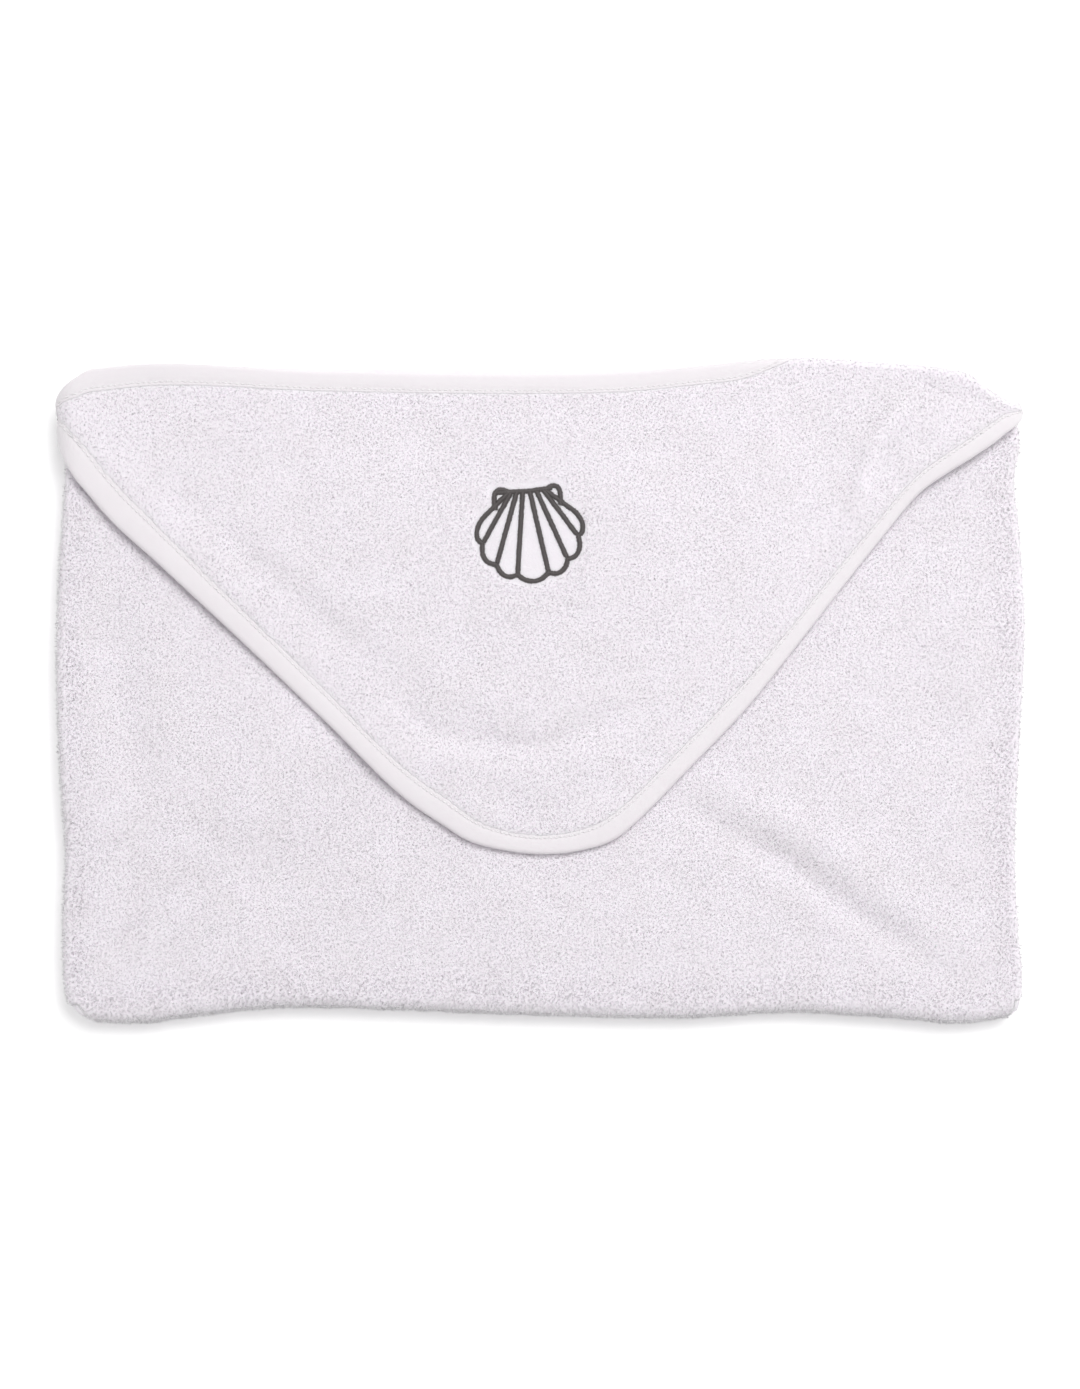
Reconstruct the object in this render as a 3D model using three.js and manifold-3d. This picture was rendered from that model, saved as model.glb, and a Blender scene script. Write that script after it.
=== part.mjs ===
// A hooded baby towel, folded flat. One rounded square of terry is folded along straight lines: both
// side corners go behind, the far corner is tucked in, the towel is doubled over, and the hood corner
// lies on top like an envelope flap. Millimetres, +Z up, +Y towards the hood's front edge.
import * as THREE from "three";
import { mergeVertices } from "three/addons/utils/BufferGeometryUtils.js";
import Module from "manifold-3d";

// Cut sizes of the cloth.
const TOWEL_SIDE = 750;
const CORNER_RADIUS = 55;
const TERRY = 2.6;
const BINDING_WIDTH = 9;
const BINDING_SKIN = 0.6;
const THREAD = 0.5;
const STITCH_HEIGHT = 0.3;
const STITCH_INSET = 1.4;
const BACKING_RADIUS = 30;
const BACKING_THICKNESS = 0.3;

// The folded size, and where the folds lie on the flat towel. The towel lies as a diamond, hood
// corner at +Y, with its centre at the origin.
const FOLDED_WIDTH = 455;
const FOLDED_LENGTH = 308;
const HOOD_DEPTH = 250;

// Clearances between layers.
const PLY_GAP = 0.5;
const LIP_GAP = 0.3;
const POCKET_GAP = 5.5;
const SEAM_GAP = 0.3;
const FLAP_REST_GAP = 1.3;
const TAIL_FOLD_INSET = 8;
const BEND_NEST = 0.5;
const STITCH_GAP = 0.1;
const EMBROIDERY_GAP = 0.1;
const WING_TOP_END = 146;

// How far the three nested bends at the doubled edge stand out, outermost first.
const BOTTOM_BEND_DEPTH = 9;
const WING_BEND_DEPTH_RIGHT = 5.9;
const WING_BEND_DEPTH_LEFT = 4.4;

// How finely curves are faceted, how near shared corners lie, and how far a cut reaches past a solid.
const OUTLINE_SEGMENTS = 8;
const BEND_SEGMENTS = 7;
const THREAD_SEGMENTS = 10;
const DISC_SEGMENTS = 32;
const WELD_DISTANCE = 1e-4;
const CUT = 1;

// The embroidered scallop.
const SHELL = {
  x: -4.4,
  y: 96.4,
  tilt: THREE.MathUtils.degToRad(4.2),
  radius: 40,
  falloff: 0.85,
  bulge: 2.8,
  ribAngles: [-44.5, -26.5, -10.5, 10.5, 26.5, 44.5].map(THREE.MathUtils.degToRad),
  sideAngle: THREE.MathUtils.degToRad(63),
  lobeSteps: 5,
  earAngle: THREE.MathUtils.degToRad(66),
  earRadius: 14.5,
  hingeHalf: 14,
  ribStart: 3.4,
  line: 2.2,
  height: 0.8,
};

// Fold lines on the flat towel.
const HALF_DIAGONAL = TOWEL_SIDE / Math.SQRT2;
const SIDE_FOLD = FOLDED_WIDTH / 2;
const TOP_FOLD = HALF_DIAGONAL - HOOD_DEPTH;
const BOTTOM_FOLD = TOP_FOLD - FOLDED_LENGTH;
const TAIL_FOLD = BOTTOM_FOLD - (FOLDED_LENGTH - TAIL_FOLD_INSET);
const HALF_LENGTH = FOLDED_LENGTH / 2;

// Undersides of the layers, from the floor up. The right side corner is folded first, so its wing
// lies against the strip, and the left wing lies over it.
const PLY = TERRY + PLY_GAP;
const Z_MIDDLE = 0;
const Z_MIDDLE_WING_RIGHT = PLY;
const Z_MIDDLE_WING_LEFT = 2 * PLY;
const Z_TAIL = 3 * PLY;
const Z_FRONT_WING_LEFT = 4 * PLY;
const Z_FRONT_WING_RIGHT = 5 * PLY;
const Z_FRONT = 6 * PLY;
const Z_TOWEL_CORNER = Z_FRONT + TERRY + FLAP_REST_GAP;
const Z_HOOD = Z_TOWEL_CORNER + TERRY + POCKET_GAP;
const Z_LIP_TOP = Z_HOOD + TERRY + LIP_GAP + BINDING_SKIN;
const Z_STITCH = Z_LIP_TOP + STITCH_GAP;

const wasm = await Module();
wasm.setup();

// ---- solids --------------------------------------------------------------------------------

// A geometry with only positions, its shared vertices merged.
function welded(geometry) {
  const bare = geometry.clone();
  bare.deleteAttribute("normal");
  bare.deleteAttribute("uv");
  return mergeVertices(bare, WELD_DISTANCE);
}

function toSolid(geometry) {
  const merged = welded(geometry);
  return new wasm.Manifold(
    new wasm.Mesh({
      numProp: 3,
      vertProperties: merged.attributes.position.array,
      triVerts: new Uint32Array(merged.index.array),
    }),
  );
}

function toGeometry(solid) {
  const mesh = solid.getMesh();
  const geometry = new THREE.BufferGeometry();
  geometry.setAttribute("position", new THREE.BufferAttribute(mesh.vertProperties, 3));
  geometry.setIndex(new THREE.BufferAttribute(mesh.triVerts, 1));
  const flat = geometry.toNonIndexed();
  flat.computeVertexNormals();
  return flat;
}

function box(x0, x1, y0, y1, z0, z1) {
  const geometry = new THREE.BoxGeometry(x1 - x0, y1 - y0, z1 - z0);
  geometry.translate((x0 + x1) / 2, (y0 + y1) / 2, (z0 + z1) / 2);
  return geometry;
}

// The towel's flat outline, brought in by inset all round: a square on its corner, rounded.
function towelOutline(inset) {
  const radius = CORNER_RADIUS - inset;
  const reach = HALF_DIAGONAL - CORNER_RADIUS * Math.SQRT2;
  const shape = new THREE.Shape();
  const quarter = Math.PI / 2;
  for (let corner = 0; corner < 4; corner += 1) {
    const middle = corner * quarter;
    const x = reach * Math.cos(middle);
    const y = reach * Math.sin(middle);
    shape.absarc(x, y, radius, middle - quarter / 2, middle + quarter / 2, false);
  }
  shape.closePath();
  return shape;
}

// The flat towel inside a window, as a slab from z0 up. Its edge is brought in by inset.
function clothPanel(window, inset, thickness, z0 = 0) {
  const options = { depth: thickness, bevelEnabled: false, curveSegments: OUTLINE_SEGMENTS };
  const sheet = toSolid(new THREE.ExtrudeGeometry(towelOutline(inset), options).translate(0, 0, z0));
  const [x0, x1, y0, y1] = window;
  return sheet.intersect(toSolid(box(x0, x1, y0, y1, z0 - CUT, z0 + thickness + CUT)));
}

// A band of tape along the towel's edge inside a window, between two insets.
function edgeBand(window, outerInset, innerInset, thickness, z0 = 0) {
  const whole = clothPanel(window, outerInset, thickness, z0);
  const inside = clothPanel(window, innerInset, thickness + 2 * CUT, z0 - CUT);
  return whole.subtract(inside);
}

// The bend that joins two layers, as a half oval ring running along +X with its back at -Y:
// height is measured over both layers, and depth is how far the bend stands out.
function bendSolid(length, height, depth) {
  const shape = new THREE.Shape();
  const half = height / 2;
  shape.absellipse(0, 0, half, depth, 0, Math.PI, false);
  shape.lineTo(-half + TERRY, 0);
  shape.absellipse(0, 0, half - TERRY, depth - TERRY, Math.PI, 0, true);
  shape.closePath();
  const options = { depth: length, bevelEnabled: false, curveSegments: BEND_SEGMENTS };
  const geometry = new THREE.ExtrudeGeometry(shape, options);
  // The ring's plane turns upright: its first axis becomes +Z, its second -Y, its length +X.
  const basis = new THREE.Matrix4().makeBasis(
    new THREE.Vector3(0, 0, 1),
    new THREE.Vector3(0, -1, 0),
    new THREE.Vector3(1, 0, 0),
  );
  geometry.applyMatrix4(basis);
  return geometry.translate(-length / 2, 0, half);
}

// ---- materials and placing -------------------------------------------------------------------

const COLOURS = {
  terry: 0xf1eef2,
  tape: 0xf0edf0,
  white_thread: 0xefecee,
  dark_thread: 0x4a4546,
  backing: 0xf4f4f2,
};
const ROUGHNESS = { terry: 0.95, tape: 0.8, white_thread: 0.7, dark_thread: 0.5, backing: 0.9 };

const towel = new THREE.Group();
towel.name = "hooded_towel";

function add(parent, name, slot, geometry) {
  const material = new THREE.MeshStandardMaterial({
    color: COLOURS[slot],
    roughness: ROUGHNESS[slot],
    metalness: 0,
  });
  const mesh = new THREE.Mesh(geometry, material);
  mesh.name = name;
  parent.add(mesh);
  return mesh;
}

function addSolid(parent, name, slot, solid) {
  return add(parent, name, slot, toGeometry(solid));
}

// A fold takes a stretch of the flat towel to its place in the stack. turnX and turnY say whether it
// is turned over about that axis; over says that its upper side ends up facing down.
function foldTo(x, y, turnX, turnY) {
  const group = new THREE.Group();
  group.position.set(x, y, 0);
  group.rotation.set(turnX ? Math.PI : 0, turnY ? Math.PI : 0, 0);
  group.userData.over = turnX !== turnY;
  towel.add(group);
  return group;
}

// Where a slab that lies from z up in the stack starts on the flat towel.
function flatStart(group, z, thickness) {
  return group.userData.over ? -(z + thickness) : z;
}

function addCloth(group, name, window, inset, z, thickness = TERRY) {
  addSolid(group, name, "terry", clothPanel(window, inset, thickness, flatStart(group, z, thickness)));
}

function addTape(group, name, window, z) {
  const start = flatStart(group, z, TERRY);
  addSolid(group, name, "tape", edgeBand(window, 0, BINDING_WIDTH, TERRY, start));
}

// ---- the bends, and where the flat layers stop ---------------------------------------------------

const spanOf = (low, high) => high + TERRY - low;
const sideBend = {
  frontRight: spanOf(Z_FRONT_WING_RIGHT, Z_FRONT),
  frontLeft: spanOf(Z_FRONT_WING_LEFT, Z_FRONT),
  middleRight: spanOf(Z_MIDDLE, Z_MIDDLE_WING_RIGHT),
  middleLeft: spanOf(Z_MIDDLE, Z_MIDDLE_WING_LEFT),
};
const topBend = spanOf(Z_FRONT, Z_TOWEL_CORNER);
const tailBend = spanOf(Z_MIDDLE, Z_TAIL);
const bottomBend = {
  height: spanOf(Z_MIDDLE, Z_FRONT),
  depth: BOTTOM_BEND_DEPTH,
  back: -HALF_LENGTH,
};
const wingBendRight = {
  height: spanOf(Z_MIDDLE_WING_RIGHT, Z_FRONT_WING_RIGHT),
  depth: WING_BEND_DEPTH_RIGHT,
  back: bottomBend.back + TERRY + BEND_NEST,
};
const wingBendLeft = {
  height: spanOf(Z_MIDDLE_WING_LEFT, Z_FRONT_WING_LEFT),
  depth: WING_BEND_DEPTH_LEFT,
  back: wingBendRight.back + TERRY + BEND_NEST,
};
const endOf = (bend) => bend.back + bend.depth;
const topEnd = HALF_LENGTH - topBend / 2;
const tailEnd = HALF_LENGTH - TAIL_FOLD_INSET - tailBend / 2;
const bottomEnd = endOf(bottomBend);
const flatEdge = (bend) => SIDE_FOLD - bend / 2 - SEAM_GAP;

// A place along the folded towel's length, as a place along the flat towel.
const flatFront = (y) => y + TOP_FOLD - HALF_LENGTH;
const flatMiddle = (y) => BOTTOM_FOLD - HALF_LENGTH - y;
const flatFlap = (y) => TOP_FOLD + HALF_LENGTH - y;
const flatTail = (y) => y + TAIL_FOLD - (HALF_LENGTH - TAIL_FOLD_INSET);

// A window on the flat towel between two values each way, in either order.
function windowOf(x0, x1, y0, y1) {
  return [Math.min(x0, x1), Math.max(x0, x1), Math.min(y0, y1), Math.max(y0, y1)];
}

// ---- the strip's two halves ------------------------------------------------------------------

function addFrontPanel() {
  const group = foldTo(0, -flatFront(0), false, false);
  const low = flatFront(bottomEnd + SEAM_GAP);
  const high = flatFront(topEnd - SEAM_GAP);
  const window = windowOf(-flatEdge(sideBend.frontLeft), flatEdge(sideBend.frontRight), low, high);
  addCloth(group, "front_panel", window, 0, Z_FRONT);
}

function addMiddlePanel() {
  const group = foldTo(0, flatMiddle(0), true, false);
  const low = flatMiddle(tailEnd - SEAM_GAP);
  const high = flatMiddle(bottomEnd + SEAM_GAP);
  const left = -flatEdge(sideBend.middleLeft);
  const right = flatEdge(sideBend.middleRight);
  addCloth(group, "middle_panel", windowOf(left, right, low, high), BINDING_WIDTH + SEAM_GAP, Z_MIDDLE);
  addTape(group, "middle_corner_binding_left", windowOf(left, 0, low, high), Z_MIDDLE);
  addTape(group, "middle_corner_binding_right", windowOf(0, right, low, high), Z_MIDDLE);
}

// ---- the side corners, folded in behind the strip --------------------------------------------------

// side is +1 for the right wing and -1 for the left. bend is the height of the side bend that joins
// the wing to the strip, and bottomBend the bend that joins its two halves.
function addWing(half, side, z, bend, halvesBend) {
  const isFront = half === "front";
  const toFlat = isFront ? flatFront : flatMiddle;
  const group = foldTo(side * FOLDED_WIDTH, isFront ? -flatFront(0) : flatMiddle(0), !isFront, true);
  const near = side * (SIDE_FOLD + bend / 2 + SEAM_GAP);
  const low = toFlat(endOf(halvesBend) + SEAM_GAP);
  const window = windowOf(near, side * HALF_DIAGONAL, low, toFlat(WING_TOP_END));
  const label = side > 0 ? "right" : "left";
  addCloth(group, half + "_wing_" + label, window, BINDING_WIDTH + SEAM_GAP, z);
  addTape(group, half + "_wing_binding_" + label, window, z);
}

// The bend along one side, from the strip to its wing.
function addSideFold(half, side, z, height, y0, y1) {
  const group = new THREE.Group();
  group.position.set(side * (SIDE_FOLD - height / 2), (y0 + y1) / 2, z);
  group.rotation.z = side * Math.PI / 2;
  towel.add(group);
  const name = half + "_side_fold_" + (side > 0 ? "right" : "left");
  add(group, name, "terry", bendSolid(y1 - y0, height, height / 2));
}

function addWings() {
  addWing("front", 1, Z_FRONT_WING_RIGHT, sideBend.frontRight, wingBendRight);
  addWing("front", -1, Z_FRONT_WING_LEFT, sideBend.frontLeft, wingBendLeft);
  addWing("middle", 1, Z_MIDDLE_WING_RIGHT, sideBend.middleRight, wingBendRight);
  addWing("middle", -1, Z_MIDDLE_WING_LEFT, sideBend.middleLeft, wingBendLeft);
  const low = endOf(wingBendLeft) + SEAM_GAP;
  addSideFold("front", 1, Z_FRONT_WING_RIGHT, sideBend.frontRight, low, WING_TOP_END);
  addSideFold("front", -1, Z_FRONT_WING_LEFT, sideBend.frontLeft, low, WING_TOP_END);
  const cutCorner = flatMiddle(SIDE_FOLD - HALF_DIAGONAL);
  const high = cutCorner - BINDING_WIDTH * Math.SQRT2 - SEAM_GAP;
  addSideFold("middle", 1, Z_MIDDLE, sideBend.middleRight, low, high);
  addSideFold("middle", -1, Z_MIDDLE, sideBend.middleLeft, low, high);
}

// ---- the bends that open and close -------------------------------------------------------------

// facing is -1 for a bend whose back is towards -Y and +1 for one towards +Y.
function addFold(name, facing, x, y, z, length, height, depth) {
  const group = new THREE.Group();
  group.position.set(x, y, z);
  group.rotation.z = facing > 0 ? Math.PI : 0;
  towel.add(group);
  add(group, name, "terry", bendSolid(length, height, depth));
}

function addFolds() {
  const topLength = 2 * flatEdge(sideBend.frontLeft);
  addFold("top_fold", 1, 0, topEnd, Z_FRONT, topLength, topBend, topBend / 2);
  addFold("bottom_fold", -1, 0, bottomEnd, Z_MIDDLE, FOLDED_WIDTH, bottomBend.height, bottomBend.depth);
  const tailLength = 2 * (TAIL_FOLD + HALF_DIAGONAL);
  addFold("tail_fold", 1, 0, tailEnd, Z_MIDDLE, tailLength, tailBend, tailBend / 2);

  const cornerCentre = HALF_DIAGONAL - CORNER_RADIUS * Math.SQRT2;
  const wingTip = cornerCentre + Math.sqrt(CORNER_RADIUS ** 2 - BOTTOM_FOLD ** 2);
  const wingLength = wingTip - SIDE_FOLD - sideBend.frontLeft;
  const wingX = wingLength / 2 + FOLDED_WIDTH - wingTip;
  const right = [wingX, endOf(wingBendRight), Z_MIDDLE_WING_RIGHT];
  addFold("wing_fold_right", -1, ...right, wingLength, wingBendRight.height, wingBendRight.depth);
  const left = [-wingX, endOf(wingBendLeft), Z_MIDDLE_WING_LEFT];
  addFold("wing_fold_left", -1, ...left, wingLength, wingBendLeft.height, wingBendLeft.depth);
}

// ---- the tail, tucked in between the two halves ----------------------------------------------------

function addTail() {
  const group = foldTo(0, -flatTail(0), false, false);
  const high = flatTail(tailEnd - SEAM_GAP);
  const window = windowOf(-HALF_DIAGONAL, HALF_DIAGONAL, -HALF_DIAGONAL, high);
  addCloth(group, "tail_panel", window, BINDING_WIDTH + SEAM_GAP, Z_TAIL);
  addTape(group, "tail_binding", window, Z_TAIL);
}

// ---- the hood ------------------------------------------------------------------------------------

// The towel's corner and the hood panel are the same shape, one above the other, and the perimeter
// tape wraps both. The pocket between them opens at the hood panel's bound front edge.
function addHood() {
  const group = foldTo(0, flatFlap(0), true, false);
  const side = SIDE_FOLD - SEAM_GAP;
  const tip = HALF_DIAGONAL;
  const panelInset = BINDING_SKIN + LIP_GAP;

  const cornerWindow = windowOf(-side, side, flatFlap(topEnd - SEAM_GAP), tip);
  addCloth(group, "towel_corner", cornerWindow, panelInset, Z_TOWEL_CORNER);
  const hoodEdge = HALF_LENGTH - panelInset;
  addCloth(group, "hood_panel", windowOf(-side, side, flatFlap(hoodEdge), tip), panelInset, Z_HOOD);

  const lipBottom = Z_TOWEL_CORNER - LIP_GAP - BINDING_SKIN;
  const wrapHeight = Z_LIP_TOP - lipBottom;
  const wrap = edgeBand(cornerWindow, 0, BINDING_WIDTH, wrapHeight, -Z_LIP_TOP);
  const innerHeight = wrapHeight - 2 * BINDING_SKIN;
  const inner = clothPanel(cornerWindow, BINDING_SKIN, innerHeight, -Z_LIP_TOP + BINDING_SKIN);
  addSolid(group, "corner_binding", "tape", wrap.subtract(inner));

  const seam = BINDING_WIDTH - STITCH_INSET;
  const stitchStart = -(Z_STITCH + STITCH_HEIGHT);
  const stitches = edgeBand(cornerWindow, seam - THREAD, seam, STITCH_HEIGHT, stitchStart);
  addSolid(group, "corner_stitching", "white_thread", stitches);
}

// The tape folded over the hood panel's front edge, and the row of stitches along it.
function addHoodFront() {
  const half = SIDE_FOLD - 2 * SEAM_GAP;
  const back = HALF_LENGTH - BINDING_WIDTH;
  const low = Z_HOOD - LIP_GAP - BINDING_SKIN;
  const outer = toSolid(box(-half, half, back, HALF_LENGTH, low, Z_LIP_TOP));
  const inside = box(
    -half - CUT,
    half + CUT,
    back - CUT,
    HALF_LENGTH - BINDING_SKIN,
    low + BINDING_SKIN,
    Z_LIP_TOP - BINDING_SKIN,
  );
  addSolid(towel, "hood_front_binding", "tape", outer.subtract(toSolid(inside)));
  const seam = back + STITCH_INSET;
  const row = box(-half, half, seam, seam + THREAD, Z_STITCH, Z_STITCH + STITCH_HEIGHT);
  add(towel, "hood_front_stitching", "white_thread", row);
}

// ---- the embroidered scallop ------------------------------------------------------------------------

// A point of the scallop, from its angle off the middle rib line and its distance from the hinge.
function shellPoint(angle, radius) {
  const turned = angle + SHELL.tilt;
  return new THREE.Vector2(SHELL.x + radius * Math.sin(turned), SHELL.y - radius * Math.cos(turned));
}

const shellRadius = (angle) => SHELL.radius * Math.cos(SHELL.falloff * angle);

// The scalloped edge, lobe by lobe, then the sides, the ears and the hinge line.
function shellOutline() {
  const stops = [-SHELL.sideAngle, ...SHELL.ribAngles, SHELL.sideAngle];
  const points = [];
  for (let lobe = 0; lobe < stops.length - 1; lobe += 1) {
    for (let step = 0; step < SHELL.lobeSteps; step += 1) {
      const t = step / SHELL.lobeSteps;
      const angle = THREE.MathUtils.lerp(stops[lobe], stops[lobe + 1], t);
      points.push(shellPoint(angle, shellRadius(angle) + SHELL.bulge * Math.sin(Math.PI * t)));
    }
  }
  points.push(shellPoint(SHELL.sideAngle, shellRadius(SHELL.sideAngle)));
  for (const side of [1, -1]) {
    const ear = [
      [SHELL.earAngle, SHELL.earRadius],
      [Math.PI / 2, SHELL.hingeHalf],
    ];
    const inOrder = side > 0 ? ear : ear.reverse();
    inOrder.forEach(([angle, radius]) => points.push(shellPoint(side * angle, radius)));
  }
  return points;
}

// A line of satin stitch through the points, as one flat-topped solid.
function satinLine(points, closed, z) {
  const pieces = points.map((point) => {
    const half = SHELL.line / 2;
    const round = new THREE.CylinderGeometry(half, half, SHELL.height, THREAD_SEGMENTS);
    round.rotateX(Math.PI / 2);
    return toSolid(round.translate(point.x, point.y, z + SHELL.height / 2));
  });
  const count = closed ? points.length : points.length - 1;
  for (let i = 0; i < count; i += 1) {
    const run = points[(i + 1) % points.length].clone().sub(points[i]);
    const column = new THREE.BoxGeometry(run.length(), SHELL.line, SHELL.height);
    column.rotateZ(run.angle());
    const middle = points[i].clone().addScaledVector(run, 0.5);
    pieces.push(toSolid(column.translate(middle.x, middle.y, z + SHELL.height / 2)));
  }
  return wasm.Manifold.union(pieces);
}

function addShell() {
  const z = Z_HOOD + TERRY + EMBROIDERY_GAP;
  addSolid(towel, "shell_outline", "dark_thread", satinLine(shellOutline(), true, z));
  const ribs = SHELL.ribAngles.map((angle) => {
    const end = shellRadius(angle) - SHELL.line - SEAM_GAP;
    return satinLine([shellPoint(angle, SHELL.ribStart), shellPoint(angle, end)], false, z);
  });
  addSolid(towel, "shell_ribs", "dark_thread", wasm.Manifold.union(ribs));
}

function addBacking() {
  const radius = BACKING_RADIUS;
  const disc = new THREE.CylinderGeometry(radius, radius, BACKING_THICKNESS, DISC_SEGMENTS);
  disc.rotateX(Math.PI / 2);
  const z = Z_HOOD - EMBROIDERY_GAP - BACKING_THICKNESS / 2;
  disc.translate(SHELL.x, SHELL.y - SHELL.radius / 2, z);
  add(towel, "embroidery_backing", "backing", disc);
}

addMiddlePanel();
addFrontPanel();
addWings();
addFolds();
addTail();
addHood();
addHoodFront();
addShell();
addBacking();

export default towel;
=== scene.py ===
"""A hooded baby towel, folded flat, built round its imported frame.

The towel is one rounded square of terry. Every piece of cloth, tape and thread is drawn on the flat
towel and carried to its place by one of two drapes: the body's, which folds it across and along, and
the flap's, for the hood corner that lies on top. Lengths are in millimetres until a mesh is made.
"""
import math

import bmesh
import bpy
import numpy as np
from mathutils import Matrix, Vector


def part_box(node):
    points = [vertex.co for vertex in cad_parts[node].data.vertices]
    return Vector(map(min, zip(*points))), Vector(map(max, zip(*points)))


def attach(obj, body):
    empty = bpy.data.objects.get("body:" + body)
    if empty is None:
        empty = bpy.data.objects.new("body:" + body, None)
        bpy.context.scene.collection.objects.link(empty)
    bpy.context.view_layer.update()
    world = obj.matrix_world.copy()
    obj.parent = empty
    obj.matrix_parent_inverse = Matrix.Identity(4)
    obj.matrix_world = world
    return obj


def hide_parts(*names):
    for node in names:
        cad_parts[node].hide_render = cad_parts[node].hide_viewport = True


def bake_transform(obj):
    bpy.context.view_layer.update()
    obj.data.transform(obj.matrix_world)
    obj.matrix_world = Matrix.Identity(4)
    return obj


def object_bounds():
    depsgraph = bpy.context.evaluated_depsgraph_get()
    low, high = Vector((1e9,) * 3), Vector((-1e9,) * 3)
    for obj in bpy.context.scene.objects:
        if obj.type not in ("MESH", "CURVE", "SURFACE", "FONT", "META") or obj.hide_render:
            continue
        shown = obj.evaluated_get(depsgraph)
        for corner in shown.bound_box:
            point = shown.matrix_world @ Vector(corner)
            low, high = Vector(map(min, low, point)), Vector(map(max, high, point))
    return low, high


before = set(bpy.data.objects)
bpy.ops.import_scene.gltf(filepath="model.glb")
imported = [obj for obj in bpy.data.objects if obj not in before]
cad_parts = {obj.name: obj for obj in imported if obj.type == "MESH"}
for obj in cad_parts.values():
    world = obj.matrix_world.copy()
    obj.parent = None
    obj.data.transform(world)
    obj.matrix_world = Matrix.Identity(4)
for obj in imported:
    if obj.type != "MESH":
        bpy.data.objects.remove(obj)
CAD_BOX = [list(corner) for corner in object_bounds()]

MM = 0.001
PI = math.pi


def node_box(node):
    low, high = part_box(node)
    return np.array(low) / MM, np.array(high) / MM


def middle_z(node):
    low, high = node_box(node)
    return (low[2] + high[2]) / 2


# ---- sizes ----

TOWEL_SIDE = 750.0
CORNER_RADIUS = 55.0
HOOD_DEPTH = 250.0
TAPE_WIDTH = 9.0
TERRY = float(node_box("front_panel")[1][2] - node_box("front_panel")[0][2])

HALF_DIAGONAL = TOWEL_SIDE / math.sqrt(2)
TOP_FOLD = HALF_DIAGONAL - HOOD_DEPTH
CORNER_CENTRE = HALF_DIAGONAL - CORNER_RADIUS * math.sqrt(2)
HALF_WIDTH = CAD_BOX[1][0] / MM
HALF_LENGTH = CAD_BOX[1][1] / MM

Z_MIDDLE = middle_z("middle_panel")
Z_FRONT = middle_z("front_panel")
Z_TAIL = middle_z("tail_panel")
Z_CORNER = middle_z("towel_corner")
WING_DROP_RIGHT = Z_FRONT - middle_z("front_wing_right")
WING_DROP_LEFT = Z_FRONT - middle_z("front_wing_left")

# The bends, each with its centre and how far its middle surface stands out.
TOP_BEND = (Z_CORNER - Z_FRONT) / 2
Y_TOP = HALF_LENGTH - TERRY / 2 - TOP_BEND
BOTTOM_BEND_Z = (Z_FRONT - Z_MIDDLE) / 2
BOTTOM_BEND_Y = float(node_box("bottom_fold")[1][1]) + HALF_LENGTH - TERRY / 2
Y_BOTTOM = float(node_box("bottom_fold")[1][1])
TAIL_BEND = (Z_TAIL - Z_MIDDLE) / 2
Y_TAIL = float(node_box("tail_fold")[1][1]) - TERRY / 2 - TAIL_BEND

# Where each stretch of the body ends, along the flat towel.
V_FLAP = TOP_FOLD + PI * TOP_BEND / 2
V_FRONT_TOP = TOP_FOLD - PI * TOP_BEND / 2
V_FRONT_END = V_FRONT_TOP - (Y_TOP - Y_BOTTOM)
BOTTOM_ARC = PI * (BOTTOM_BEND_Y + BOTTOM_BEND_Z) / 2
V_MIDDLE_END = V_FRONT_END - BOTTOM_ARC
V_MIDDLE_TOP = V_MIDDLE_END - (Y_TAIL - Y_BOTTOM)
V_TAIL = V_MIDDLE_TOP - PI * TAIL_BEND


# ---- small tools on arrays ----


def smooth(t):
    t = np.clip(t, 0.0, 1.0)
    return t * t * (3 - 2 * t)


def swell(x, centre, width):
    return np.exp(-(((x - centre) / width) ** 2))


def table(seed, count=1):
    return np.random.default_rng(seed).uniform(-1, 1, (count, 256, 256))


def soft_noise(u, v, pitch, seed):
    """Smooth random values from -1 to 1, with features about pitch apart."""
    values = table(seed)[0]
    a, b = u / pitch, v / pitch
    i, j = np.floor(a).astype(int), np.floor(b).astype(int)
    s, t = smooth(a - i), smooth(b - j)
    at = lambda p, q: values[p % 256, q % 256]
    low = at(i, j) * (1 - s) + at(i + 1, j) * s
    high = at(i, j + 1) * (1 - s) + at(i + 1, j + 1) * s
    return low * (1 - t) + high * t


def loop_bumps(u, v, pitch, seed):
    """The tops of terry loops: one long low bump per cell, each turned its own way, from 0 to 1."""
    jitter_u, jitter_v, turn, size = table(seed, 4)
    i0, j0 = np.floor(u / pitch).astype(int), np.floor(v / pitch).astype(int)
    best = np.zeros_like(u)
    for di in (-1, 0, 1):
        for dj in (-1, 0, 1):
            p, q = (i0 + di) % 256, (j0 + dj) % 256
            du = u - (i0 + di + 0.5 + 0.42 * jitter_u[p, q]) * pitch
            dv = v - (j0 + dj + 0.5 + 0.42 * jitter_v[p, q]) * pitch
            angle = PI * turn[p, q]
            along = du * np.cos(angle) + dv * np.sin(angle)
            across = dv * np.cos(angle) - du * np.sin(angle)
            spread = (along / (0.62 * pitch)) ** 2 + (across / (0.34 * pitch)) ** 2
            best = np.maximum(best, (0.75 + 0.25 * size[p, q]) * np.exp(-spread))
    return best


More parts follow.
